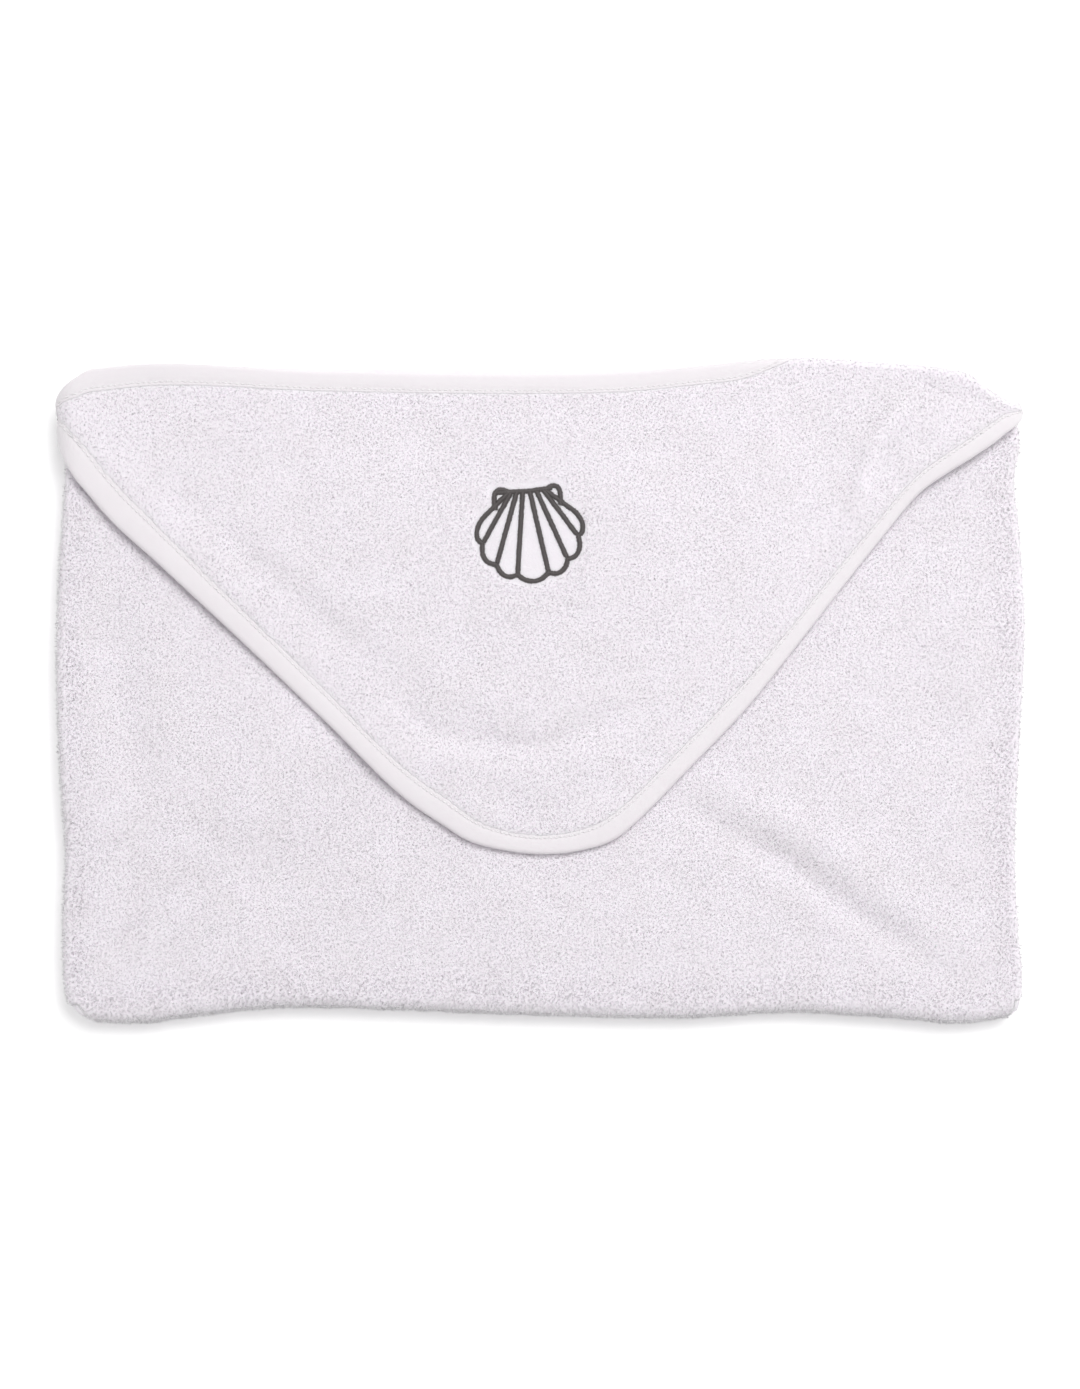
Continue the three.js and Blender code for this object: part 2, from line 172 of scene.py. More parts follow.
def curve(t, points):
    """A smooth curve through (place, value) pairs, level beyond the two ends."""
    places, values = np.array(points, float).T
    slopes = np.gradient(values, places)
    slopes[0] = slopes[-1] = 0
    t = np.clip(t, places[0], places[-1])
    k = np.clip(np.searchsorted(places, t) - 1, 0, len(places) - 2)
    run = places[k + 1] - places[k]
    s = (t - places[k]) / run
    rise = smooth(s)
    return (values[k] * (1 - rise) + values[k + 1] * rise
            + run * slopes[k] * s * (1 - s) ** 2 - run * slopes[k + 1] * s * s * (1 - s))


def to_line(x, y, points):
    """Distance to a line through points, and how far along it the nearest place is, from 0 to 1."""
    points = np.array(points, float)
    lengths = np.hypot(*np.diff(points, axis=0).T)
    gone, total = 0.0, lengths.sum()
    nearest = np.full(np.shape(x), 1e9)
    place = np.zeros(np.shape(x))
    for (ax, ay), (bx, by), length in zip(points[:-1], points[1:], lengths):
        t = np.clip(((x - ax) * (bx - ax) + (y - ay) * (by - ay)) / length**2, 0, 1)
        d = np.hypot(x - ax - t * (bx - ax), y - ay - t * (by - ay))
        closer = d < nearest
        nearest = np.where(closer, d, nearest)
        place = np.where(closer, (gone + t * length) / total, place)
        gone += length
    return nearest, place


def crease(x, y, points, height, width, fade=0.3):
    """A soft ridge, or a valley where height is negative, that fades out at both ends."""
    d, place = to_line(x, y, points)
    ends = smooth(place / fade) * smooth((1 - place) / fade)
    return height * np.exp(-((d / width) ** 2)) * (0.15 + 0.85 * ends)


# ---- the relief of the cloth, in the folded towel's own plan ----


def body_relief(x, y):
    z = crease(x, y, [(-200, 55), (-196, 0), (-184, -62)], -2.2, 11)
    z += crease(x, y, [(-155, -70), (-128, -36), (-108, 2)], 2.3, 17)
    z += crease(x, y, [(-70, -24), (-100, -58), (-146, -108)], -2.7, 14)
    z += crease(x, y, [(-207, -124), (-190, -104), (-170, -84)], -1.1, 4.5)
    z += crease(x, y, [(-196, -132), (-180, -114), (-158, -96)], 0.9, 4.5)
    z += crease(x, y, [(-182, -138), (-166, -122), (-146, -108)], -0.8, 4.5)
    z += crease(x, y, [(52, -40), (121, -81), (150, -104), (204, -138)], -2.4, 7.5, 0.35)
    z += crease(x, y, [(78, -38), (130, -68), (176, -100), (212, -120)], 1.5, 10)
    z += crease(x, y, [(186, 34), (182, -2), (192, -40)], -1.2, 13)
    z += crease(x, y, [(205, -20), (196, -52), (178, -74)], 1.0, 12)
    z += 1.5 * swell(x, 5, 75) * swell(y, -112, 30)
    z += 0.45 * soft_noise(x + 900, y + 900, 34, 11) + 0.25 * soft_noise(x + 900, y + 900, 15, 12)
    return z * smooth((140 - y) / 30)


def flap_relief(x, y):
    z = crease(x, y, [(-82, 10), (-47, -18), (0, -23), (50, -2)], -1.5, 5.5)
    z += crease(x, y, [(-70, 24), (-40, 2), (0, -5), (40, 10)], 0.8, 9)
    z += crease(x, y, [(-60, -26), (0, -38), (45, -20)], 0.9, 8)
    z += crease(x, y, [(-196, 118), (-142, 71), (-93, 29), (-48, -4)], -1.2, 8)
    z += crease(x, y, [(-150, 96), (-120, 66), (-70, 30)], 0.8, 12)
    z += crease(x, y, [(176, 142), (156, 117), (146, 78)], 2.6, 5, 0.22)
    z += crease(x, y, [(186, 128), (168, 110), (158, 84)], -1.3, 6)
    z += crease(x, y, [(134, 138), (132, 100), (118, 60)], -0.9, 6)
    z += crease(x, y, [(112, 146), (110, 110), (104, 84)], 0.6, 5)
    z += 0.4 * soft_noise(x + 900, y + 900, 38, 21) + 0.22 * soft_noise(x + 900, y + 900, 14, 22)
    return z


def flap_lift(x, y):
    """How far the flap's edge stands off the body, beyond lying flat on it."""
    z = 2.0 * swell(x, -166, 30) * swell(y, 60, 40)
    z += 1.6 * swell(x, -75, 24) * swell(y, -30, 26)
    z += 4.2 * smooth((x - 120) / 80) * swell(y, 118, 44)
    z += 1.2 * smooth((-x - 150) / 60)
    return z


# ---- the body's drape ----


def side_fold(u):
    """The fold across: place across the towel, and how far behind the strip the cloth lies."""
    drop = np.where(u > 0, WING_DROP_RIGHT, WING_DROP_LEFT)
    radius = drop / 2
    centre = HALF_WIDTH - TERRY / 2 - radius
    past = np.abs(u) - centre
    angle = np.clip(past / radius, 0, PI)
    back = np.maximum(past - PI * radius, 0)
    x = np.where(past > 0, centre + radius * np.sin(angle) - back, np.abs(u))
    return np.sign(u) * x, radius * (1 - np.cos(angle)) * (past > 0)


# The bottom bend's outline: an ellipse with fuller corners, as places on it against its length.
BEND_POWER = 0.74
bend_turn = np.linspace(0, PI, 721)
bend_out = np.sin(bend_turn) ** BEND_POWER
bend_up = np.sign(np.cos(bend_turn)) * np.abs(np.cos(bend_turn)) ** BEND_POWER
bend_length = np.hypot(np.diff(bend_out) * BOTTOM_BEND_Y, np.diff(bend_up) * BOTTOM_BEND_Z)
bend_length = np.concatenate([[0], np.cumsum(bend_length)])
bend_length /= bend_length[-1]


def length_fold(v):
    """The folds along, in the plane of Y and Z: the strip's middle surface and its back normal."""
    y = Y_TOP - (V_FRONT_TOP - v)
    z = np.full_like(v, Z_FRONT)
    ny, nz = np.zeros_like(v), -np.ones_like(v)

    def put(where, new_y, new_z, new_ny, new_nz):
        for old, new in ((y, new_y), (z, new_z), (ny, new_ny), (nz, new_nz)):
            old[where] = np.broadcast_to(new, v.shape)[where]

    angle = PI * (V_FRONT_END - v) / BOTTOM_ARC
    across, up = BOTTOM_BEND_Y * np.cos(angle), BOTTOM_BEND_Z * np.sin(angle)
    size = np.hypot(across, up)
    middle = Z_MIDDLE + BOTTOM_BEND_Z
    put(v < V_FRONT_END, Y_BOTTOM - BOTTOM_BEND_Y * np.interp(angle / PI, bend_length, bend_out),
        middle + BOTTOM_BEND_Z * np.interp(angle / PI, bend_length, bend_up), up / size, -across / size)
    put(v < V_MIDDLE_END, Y_BOTTOM + V_MIDDLE_END - v, Z_MIDDLE, 0.0, 1.0)
    angle = (V_MIDDLE_TOP - v) / TAIL_BEND
    put(v < V_MIDDLE_TOP, Y_TAIL + TAIL_BEND * np.sin(angle),
        Z_MIDDLE + TAIL_BEND * (1 - np.cos(angle)), -np.sin(angle), np.cos(angle))
    put(v < V_TAIL, Y_TAIL - (V_TAIL - v), Z_TAIL, 0.0, -1.0)
    return y, z, ny, nz


# How far the folded towel's outline stands outside its nominal sides, read along each side.
PILE_REACH = 1.3
LEFT_SIDE = [(-150, -6), (-142, -4), (-118, -2.5), (-72, -3.5), (-30, -1), (22, 0.5), (64, -1),
             (100, -3.5), (122, -4.5), (131, -6), (140, -10), (146, -14.5), (152, -21)]
RIGHT_SIDE = [(-150, -1), (-142, 0), (-110, -2), (-72, -3.3), (-20, -1), (36, 1.3), (75, -1),
              (106, -3.3), (118, -1), (127, -2.5), (134, -9), (141, -17), (147, -26), (152, -36)]
DOUBLED_EDGE = [(-225, 0), (-203, -0.8), (-170, 3), (-135, 6.2), (-65, 5.3), (0, 3), (75, 2),
                (117, 4.3), (168, 2), (205, -0.6), (227, 2)]


def quarter_round(gap, radius):
    """How far a round corner falls short of a square one, at a distance gap from its end."""
    t = 1 - np.clip(gap / radius, 0, 1)
    return radius * (1 - np.sqrt(1 - t * t * 0.98))


def body_warp(x, y, z):
    side = np.where(x > 0, curve(y, RIGHT_SIDE) - quarter_round(y + HALF_LENGTH, 7),
                    curve(y, LEFT_SIDE) - quarter_round(y + HALF_LENGTH, 13)) - PILE_REACH
    new_x = x * (1 + side / HALF_WIDTH)
    new_y = y + (curve(x, DOUBLED_EDGE) + PILE_REACH) * smooth((-40 - y) / 100)
    share = smooth((z - Z_MIDDLE) / (Z_FRONT - Z_MIDDLE))
    return new_x, new_y, z + share * body_relief(x, y)


def body_middle(u, v):
    """The body's middle surface at places on the flat towel."""
    x, behind = side_fold(u)
    y, z, ny, nz = length_fold(v)
    return np.stack(body_warp(x, y + behind * ny, z + behind * nz), -1)


# ---- the flap's drape ----

END_START = 216.0
END_RADIUS = 7.0
HANG_SHARE = 0.62
FRONT_EDGE = HALF_LENGTH - 1.0
V_FRONT_EDGE = V_FLAP + Y_TOP - FRONT_EDGE
ROLL_RADIUS = 1.5


def hood_gap(u, v):
    """How far the hood panel lies above the towel's corner, middle surface to middle surface."""
    from_edge = edge_distance(u, v)
    y = Y_TOP + V_FLAP - v
    puff = 4.3 * smooth(from_edge / 75) * (0.35 + 0.65 * smooth((y + 40) / 150))
    puff *= smooth((END_START + 6 - np.abs(u)) / 60)
    rolled = 5.2 * smooth((u - 70) / 40) * smooth((from_edge - 6) / 22) * smooth((y - 112) / 30)
    return np.maximum(2.1 + 0.6 * smooth((from_edge - 6) / 8) + puff, rolled)


def edge_distance(u, v):
    """Distance from the towel's bound edge, measured inwards on the flat towel."""
    straight = (HALF_DIAGONAL - np.abs(u) - np.abs(v)) / math.sqrt(2)
    along, across = np.maximum(np.abs(u), np.abs(v)), np.minimum(np.abs(u), np.abs(v))
    in_corner = (along - CORNER_CENTRE) > across
    return np.where(in_corner, CORNER_RADIUS - np.hypot(along - CORNER_CENTRE, across), straight)


# How far the flap's front edge and its diagonals lie from where a flat fold would put them.
FLAP_FRONT = [(-250, -26), (-234, -22), (-226, -15), (-219, -7), (-211, -1.2), (-203, 0), (-100, -2.3),
              (-30, -3.6), (5, -3.6), (60, -1.8), (95, 1.4), (117, 2.9), (159, 0.6), (191, -2.6),
              (203, -6), (212, -12), (219, -17), (228, -19.5), (250, -20)]
FLAP_DIAGONAL = [(-218, -19), (-200, -21.5), (-180, -19.7), (-140, -17), (-100, -15.2), (-60, -13.5),
                 (-40, -7), (-18, -1), (0, 0), (20, -2), (42, -7), (70, -7), (98, -5.5), (120, 0),
                 (140, 5.6), (160, 10.8), (178, 14), (190, 10.5), (202, 6), (218, 2)]


def flap_plan(u, y):
    """Where the flap lies along Y: its true place eased, its front edge wavy and its diagonals bowed."""
    diagonal = np.minimum(np.abs(u), END_START) - (HALF_DIAGONAL - Y_TOP - V_FLAP)
    to_front = np.clip((y - diagonal) / np.maximum(FRONT_EDGE - diagonal, 1), 0, 1)
    return y + curve(u, FLAP_FRONT) * to_front**2 + curve(u, FLAP_DIAGONAL) * (1 - to_front) ** 1.5


def roll_length(u):
    """How much of the front edge is turned under: only the right-hand part, more towards its end."""
    return 2.2 * smooth((u - 20) / 60) + 11.0 * smooth((u - 86) / 48)


def flap_surface(u, v, gap, rolls):
    """A layer of the flap, gap above the towel corner's middle. rolls says that its front edge rolls."""
    a = np.minimum(np.abs(u), END_START) * np.sign(u)
    beyond = np.maximum(np.abs(u) - END_START, 0)
    y = Y_TOP - (v - V_FLAP)
    sink = np.zeros_like(y)
    if rolls:
        length = roll_length(u)
        past = np.maximum(length - (v - V_FRONT_EDGE), 0)
        angle = np.minimum(past / ROLL_RADIUS, PI)
        tucked = np.maximum(past - PI * ROLL_RADIUS, 0)
        spared = length**2 / (length + 1) * smooth((y - 20) / 110)
        spared = spared * smooth((edge_distance(u, v) - 5) / 25)
        y = np.minimum(y, FRONT_EDGE - length) + ROLL_RADIUS * np.sin(angle) - tucked + spared
        sink = ROLL_RADIUS * (1 - np.cos(angle))
    angle = np.minimum(beyond / END_RADIUS, PI / 2)
    hang = np.maximum(beyond - END_RADIUS * PI / 2, 0) * HANG_SHARE
    reach = (END_RADIUS + gap) * np.sin(angle)
    y = flap_plan(u, y)
    relief = body_relief(a, y) * 0.5 + flap_relief(a, y) * smooth(gap / 2.5) + flap_lift(a, y)
    z = Z_CORNER + relief - END_RADIUS + (END_RADIUS + gap) * np.cos(angle) - hang - sink
    return np.stack([a + np.sign(u) * reach, y, z], -1)


def corner_middle(u, v):
    return flap_surface(u, v, np.zeros_like(u), False)


def hood_middle(u, v):
    return flap_surface(u, v, hood_gap(u, v), True)


def edge_middle(u, v):
    """Half way between the hood panel and the towel's corner, which the perimeter tape wraps."""
    return flap_surface(u, v, hood_gap(u, v) / 2, False)


def top_bend_middle(u, v):
    """From the front panel's end over to the flap's, on a half circle between them."""
    t = (v - V_FRONT_TOP) / (V_FLAP - V_FRONT_TOP)
    low = body_middle(u, np.full_like(v, V_FRONT_TOP))
    high = corner_middle(u, np.full_like(v, V_FLAP))
    share = ((1 - np.cos(PI * t)) / 2)[..., None]
    point = low + (high - low) * share
    point[..., 1] += TOP_BEND * np.sin(PI * t)
    return point


def body_point(u, v):
    """The body's middle surface, from the tail's tip to the hood corner's."""
    point = body_middle(u, np.minimum(v, V_FRONT_TOP))
    bend = (v > V_FRONT_TOP) & (v < V_FLAP)
    if bend.any():
        point[bend] = top_bend_middle(u[bend], v[bend])
    flap = v >= V_FLAP
    if flap.any():
        point[flap] = corner_middle(u[flap], v[flap])
    return point


STEP = 0.08


def normals(surface, u, v):
    """The side of the cloth that faces up on the flat towel."""
    along_u = surface(u + STEP, v) - surface(u - STEP, v)
    along_v = surface(u, v + STEP) - surface(u, v - STEP)
    n = np.cross(along_u, along_v)
    return n / np.maximum(np.linalg.norm(n, axis=-1, keepdims=True), 1e-9)


# ---- meshes ----

FLOOR_GAP = 0.05


def add_object(name, data):
    obj = bpy.data.objects.new(name, data)
    bpy.context.scene.collection.objects.link(obj)
    return obj


def make_object(name, points, faces, flat=None):
    """A mesh in the row frame from points in millimetres. flat gives each point's place on the towel."""
    mesh = bpy.data.meshes.new(name)
    faces = np.asarray(faces)
    sides = faces.shape[1]
    mesh.vertices.add(len(points))
    points = np.array(points, float)
    points[:, 2] = np.maximum(points[:, 2], FLOOR_GAP)
    mesh.vertices.foreach_set("co", (points * MM).astype(np.float32).ravel())
    mesh.loops.add(faces.size)
    mesh.loops.foreach_set("vertex_index", faces.astype(np.int32).ravel())
    mesh.polygons.add(len(faces))
    mesh.polygons.foreach_set("loop_start", np.arange(0, faces.size, sides, dtype=np.int32))
    mesh.polygons.foreach_set("use_smooth", np.ones(len(faces), bool))
    mesh.update(calc_edges=True)
    if flat is not None:
        layer = mesh.uv_layers.new(name="cloth")
        layer.uv.foreach_set("vector", (flat[faces.ravel()] * MM).astype(np.float32).ravel())
    mesh.validate()
    return add_object(name, mesh)


def ring_faces(index):
    """Quads between neighbouring rings of point numbers, each ring a closed loop."""
    turned = np.roll(index, -1, axis=1)
    return np.stack([index[:-1], turned[:-1], turned[1:], index[1:]], -1).reshape(-1, 4)


def lattice(low, high, pitch):
    """Whole multiples of pitch between two ends, and the ends, so that neighbours share their rows."""
    inner = np.arange(math.ceil(low / pitch), math.floor(high / pitch) + 1) * pitch
    inner = inner[(inner > low + 0.3 * pitch) & (inner < high - 0.3 * pitch)]
    return np.concatenate([[low], inner, [high]])


def cloth(name, window, pitch, surface, upper, lower, keep=None):
    """A closed sheet of cloth over a window of the flat towel. upper and lower give how far each side
    stands off the middle surface. keep(u, v) says which cells of the window hold cloth."""
    u0, u1, v0, v1 = window
    us, vs = lattice(u0, u1, pitch), lattice(v0, v1, pitch)
    u, v = (grid.ravel() for grid in np.meshgrid(us, vs, indexing="ij"))
    rows, columns = len(us), len(vs)
    index = np.arange(rows * columns).reshape(rows, columns)
    cells = np.ones((rows - 1, columns - 1), bool)
    if keep is not None:
        cu, cv = np.meshgrid((us[1:] + us[:-1]) / 2, (vs[1:] + vs[:-1]) / 2, indexing="ij")
        cells = keep(cu, cv)
    middle = surface(u, v)
    n = normals(surface, u, v)
    points = np.concatenate([middle + n * upper(u, v)[:, None], middle - n * lower(u, v)[:, None]])
    below = rows * columns
    a, b, c, d = index[:-1, :-1], index[1:, :-1], index[1:, 1:], index[:-1, 1:]
    top = np.stack([a, b, c, d], -1)[cells]
    faces = [top, top[:, ::-1] + below]
    padded = np.pad(cells, 1)
    inner = padded[1:-1, 1:-1]
    for edge, neighbour in (
        ((a, b), padded[1:-1, :-2]),
        ((b, c), padded[2:, 1:-1]),
        ((c, d), padded[1:-1, 2:]),
        ((d, a), padded[:-2, 1:-1]),
    ):
        open_edge = inner & ~neighbour
        p, q = edge[0][open_edge], edge[1][open_edge]
        faces.append(np.stack([q, p, p + below, q + below], -1))
    seen = len(faces[0]) + len(faces[1])
    faces = np.concatenate(faces)
    used, faces = np.unique(faces, return_inverse=True)
    flat = np.concatenate([np.stack([u, v], -1)] * 2)[used]
    obj = make_object(name, points[used], faces.reshape(-1, 4), flat)
    rim = np.arange(len(obj.data.polygons)) < seen
    obj.data.polygons.foreach_set("use_smooth", rim)
    return obj


def swept(name, rings, flat_rings):
    """A closed solid from rings of points, each ring a closed loop, with both ends filled."""
    count, around = rings.shape[:2]
    index = np.arange(count * around).reshape(count, around)
    obj = make_object(name, rings.reshape(-1, 3), ring_faces(index), flat_rings.reshape(-1, 2))
    made = bmesh.new()
    made.from_mesh(obj.data)
    made.verts.ensure_lookup_table()
    for ring in (index[0][::-1], index[-1]):
        made.faces.new([made.verts[i] for i in ring])
    bmesh.ops.recalc_face_normals(made, faces=made.faces)
    made.to_mesh(obj.data)
    made.free()
    obj.data.polygons.foreach_set("use_smooth", np.ones(len(obj.data.polygons), bool))
    return obj


# ---- the pile ----

SHELL_X, SHELL_Y = -5.9, 97.6
SHELL_TILT = math.radians(4.2)
SHELL_RADIUS = 40.0
SHELL_FALLOFF = 0.85
SHELL_BULGE = 2.8
RIB_ANGLES = [math.radians(a) for a in (-44.5, -26.5, -10.5, 10.5, 26.5, 44.5)]


PILE_HEIGHT = 0.4
LOOP_PITCH = 1.45


def pile(u, v, seed):
    """The pile's surface above the ground cloth: loops, and the slow mottling of washed terry."""
    lie = 1 + 0.25 * soft_noise(u + 700, v + 700, 9, seed + 5)
    rise = loop_bumps(u + 700, v + 700, LOOP_PITCH, seed) * lie
    rise += 0.35 * soft_noise(u + 700, v + 700, 2.6, seed + 1)
    return PILE_HEIGHT * rise


def under_tape(u, v):
    """0 where the tape pinches the cloth, 1 where the pile stands free."""
    return smooth((edge_distance(u, v) - TAPE_WIDTH + 1.4) / 2.2)


def terry_side(seed, extra=None):
    """How far one side of the terry stands off its middle surface. extra(u, v) flattens more of it."""
    def side(u, v):
        free = under_tape(u, v)
        if extra is not None:
            free = free * extra(u, v)
        return TERRY / 2 * (0.5 + 0.4 * free) + pile(u, v, seed) * free
    return side


def outside_shell(x, y):
    """How far a place on the hood lies outside the embroidered scallop; negative inside it."""
    dx, dy = x - SHELL_X, SHELL_Y - y
    along = dx * math.cos(SHELL_TILT) - dy * math.sin(SHELL_TILT)
    below = dy * math.cos(SHELL_TILT) + dx * math.sin(SHELL_TILT)
    angle = np.clip(np.arctan2(along, np.maximum(below, 0)), -1.15, 1.15)
    fan = np.hypot(along, below) - SHELL_RADIUS * np.cos(SHELL_FALLOFF * angle) - SHELL_BULGE
    fan = np.maximum(fan, 12.0 * (np.abs(np.arctan2(along, below)) - 1.15))
    ears = np.maximum(np.abs(along) - 16.5, np.abs(below - 1) - 4.5)
    return np.minimum(fan, ears)


def hood_free(u, v):
    """The hood panel's pile lies flat under its front tape, and under the embroidery."""
    x, y = u, Y_TOP + V_FLAP - v
    front = smooth((v - V_FRONT_EDGE - TAPE_WIDTH + 1.4) / 2.2)
    return front * (0.12 + 0.88 * smooth((outside_shell(x, y) - 0.8) / 1.6))


def in_towel(inset):
    return lambda u, v: edge_distance(u, v) > inset


EDGE_INSET = 2.0


# ---- materials ----


def new_material(name, colour, roughness, sheen=0.0, depth=0.0):
    material = bpy.data.materials.new(name)
    material.use_nodes = True
    shader = material.node_tree.nodes["Principled BSDF"]
    shader.inputs["Base Color"].default_value = (*colour, 1)
    shader.inputs["Roughness"].default_value = roughness
    shader.inputs["Sheen Weight"].default_value = sheen
    shader.inputs["Sheen Roughness"].default_value = 0.5
    if depth:
        shader.inputs["Subsurface Weight"].default_value = 1.0
        shader.inputs["Subsurface Radius"].default_value = (1.0, 0.95, 0.98)
        shader.inputs["Subsurface Scale"].default_value = depth
    return material, shader


def add_node(material, kind, **settings):
    node = material.node_tree.nodes.new(kind)
    for key, value in settings.items():
        if key in node.inputs:
            node.inputs[key].default_value = value
        else:
            setattr(node, key, value)
    return node


def link(material, out_node, out_name, in_node, in_name):
    material.node_tree.links.new(out_node.outputs[out_name], in_node.inputs[in_name])


def add_bump(material, shader, source, output, strength, distance):
    bump = add_node(material, "ShaderNodeBump", Strength=strength, Distance=distance)
    link(material, source, output, bump, "Height")
    link(material, bump, "Normal", shader, "Normal")


def terry_material():
    material, shader = new_material("looped_terry", (0.845, 0.805, 0.85), 0.95, 0.25, 0.0016)
    place = add_node(material, "ShaderNodeUVMap", uv_map="cloth")
    mottle = add_node(material, "ShaderNodeTexNoise", Scale=60.0, Detail=3.0)
    tint = add_node(material, "ShaderNodeValToRGB")
    tint.color_ramp.elements[0].position = 0.3
    tint.color_ramp.elements[0].color = (0.832, 0.792, 0.832, 1)
    tint.color_ramp.elements[1].position = 0.7
    tint.color_ramp.elements[1].color = (0.858, 0.818, 0.868, 1)
    link(material, place, "UV", mottle, "Vector")
    link(material, mottle, "Fac", tint, "Fac")
    link(material, tint, "Color", shader, "Base Color")
    fibres = add_node(material, "ShaderNodeTexNoise", Scale=1500.0, Detail=4.0, Roughness=0.7)
    loops = add_node(material, "ShaderNodeTexVoronoi", Scale=900.0)
    link(material, place, "UV", fibres, "Vector")
    link(material, place, "UV", loops, "Vector")
    mix = add_node(material, "ShaderNodeMath", operation="MULTIPLY_ADD")
    mix.inputs[1].default_value = 0.8
    link(material, loops, "Distance", mix, 0)
    link(material, fibres, "Fac", mix, 2)
    add_bump(material, shader, mix, "Value", 0.5, 0.0004)
    return material


def tape_material():
    material, shader = new_material("bias_tape", (0.80, 0.765, 0.79), 0.78, 0.1, 0.0005)
    place = add_node(material, "ShaderNodeUVMap", uv_map="cloth")
    turned = add_node(material, "ShaderNodeMapping")
    turned.inputs["Rotation"].default_value = (0, 0, math.radians(45))
    link(material, place, "UV", turned, "Vector")
    heights = []
    for direction in ("X", "Y"):
        wave = add_node(material, "ShaderNodeTexWave", Scale=650.0, Distortion=0.6)
        wave.bands_direction = direction
        link(material, turned, "Vector", wave, "Vector")
        heights.append(wave)
    weave = add_node(material, "ShaderNodeMath", operation="MULTIPLY")
    link(material, heights[0], "Fac", weave, 0)
    link(material, heights[1], "Fac", weave, 1)
    add_bump(material, shader, weave, "Value", 0.35, 0.0001)
    return material


def thread_material(name, colour, roughness):
    material, shader = new_material(name, colour, roughness, 0.2)
    place = add_node(material, "ShaderNodeTexCoord")
    twist = add_node(material, "ShaderNodeTexNoise", Scale=2500.0, Detail=2.0)
    link(material, place, "Object", twist, "Vector")
    add_bump(material, shader, twist, "Fac", 0.4, 0.0001)
    return material


TERRY_CLOTH = terry_material()
TAPE = tape_material()
WHITE_THREAD = thread_material("cotton_thread", (0.84, 0.815, 0.83), 0.6)
DARK_THREAD = thread_material("satin_thread", (0.085, 0.074, 0.074), 0.36)
BACKING = thread_material("stiffener", (0.86, 0.86, 0.84), 0.9)


def finish_piece(obj, material, body, replaced=()):
    obj.data.materials.append(material)
    if body is not None:
        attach(obj, body)
    if replaced:
        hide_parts(*replaced)
    return obj


# ---- the terry pieces ----

# How far apart the points of a cloth are, by how well it is seen.
FINE = 1.1
MEDIUM = 1.8
COARSE = 2.4


def area_of(window, keep):
    """The flat area of the cloth in a window, in square metres, counted in square millimetres."""
    u0, u1, v0, v1 = window
    u, v = np.meshgrid(np.arange(u0 + 0.5, u1), np.arange(v0 + 0.5, v1))
    return float(keep(u, v).sum() * MM**2)


def declare(window, keep, share=1.0):
    """Works out the length and flat area of a sheet cut to a window of the towel, and keeps neither. share
    is how much of the window's length it takes, less than 1 for the inner layers of a bend, which go round a
    shorter way than the outer one."""
    u0, u1, v0, v1 = window
    length = (v1 - v0) * share * MM
    area = min(area_of(window, keep) * share, 0.999 * (u1 - u0) * length * MM)


KEEP = in_towel(EDGE_INSET)
UPPER = terry_side(31)
LOWER = terry_side(47)
HOOD_INSIDE = terry_side(61, hood_free)
HOOD_SEEN = terry_side(73, hood_free)

# The bend at the top is so short that its piece takes in a little of the cloth on both sides.
TOP_MARGIN = 2.5
V_TOP_START = V_FRONT_TOP - TOP_MARGIN
V_TOP_END = V_FLAP + TOP_MARGIN
STRIP_SIDE = HALF_WIDTH + 6

# The front and the middle reach round the bottom bend, so that their seams are out of sight.
SEAM = 8.2
V_SEAM_FRONT = V_FRONT_END - SEAM
V_SEAM_MIDDLE = V_MIDDLE_END + SEAM
FLAT_RIGHT = HALF_WIDTH - TERRY / 2 - WING_DROP_RIGHT / 2
FLAT_LEFT = HALF_WIDTH - TERRY / 2 - WING_DROP_LEFT / 2


def in_flat(u):
    """Between the two side folds."""
    return (u > -FLAT_LEFT) & (u < FLAT_RIGHT)


def front_keep(u, v):
    return KEEP(u, v) & ((v > V_FRONT_END - FINE / 2) | in_flat(u))


def middle_keep(u, v):
    return KEEP(u, v) & ((v < V_MIDDLE_END + COARSE / 2) | in_flat(u))


front_strip = (-STRIP_SIDE, STRIP_SIDE, V_SEAM_FRONT, V_TOP_START)
front_cloth = cloth("front_cloth", front_strip, FINE, body_point, UPPER, LOWER, front_keep)
finish_piece(front_cloth, TERRY_CLOTH, "front_half",
             ("front_panel", "front_side_fold_left", "front_side_fold_right"))
declare(front_strip, front_keep)

middle_strip = (-STRIP_SIDE, STRIP_SIDE, V_MIDDLE_TOP, V_SEAM_MIDDLE)
middle_cloth = cloth("middle_cloth", middle_strip, COARSE, body_point, UPPER, LOWER, middle_keep)
finish_piece(middle_cloth, TERRY_CLOTH, "middle_half",
             ("middle_panel", "middle_side_fold_left", "middle_side_fold_right"))
declare(middle_strip, middle_keep)

for half, ends, under in (("front", (V_FRONT_END, V_FRONT_TOP), "tail_cloth"),
                          ("middle", (V_MIDDLE_TOP, V_MIDDLE_END), "middle_cloth")):
    for side, window in (("left", (-HALF_DIAGONAL, -STRIP_SIDE, *ends)),
                         ("right", (STRIP_SIDE, HALF_DIAGONAL, *ends))):
        wing = cloth(f"{half}_wing_{side}_cloth", window, COARSE, body_point, UPPER, LOWER, KEEP)
        finish_piece(wing, TERRY_CLOTH, f"{half}_half", (f"{half}_wing_{side}",))
        declare(window, KEEP)


def bend(name, window, pitch, sides, bodies, heights, replaced, rests_on, share=1.0):
    """A strip of cloth round a bend, drawn as it lies at rest and fastened to no body. Its bodies and
    heights are not used.
    """
    strip = cloth(name, window, pitch, body_point, *sides, KEEP)
    finish_piece(strip, TERRY_CLOTH, None, replaced)
    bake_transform(strip)
    declare(window, KEEP, share=share)


PRESSED_HALF = 1.05


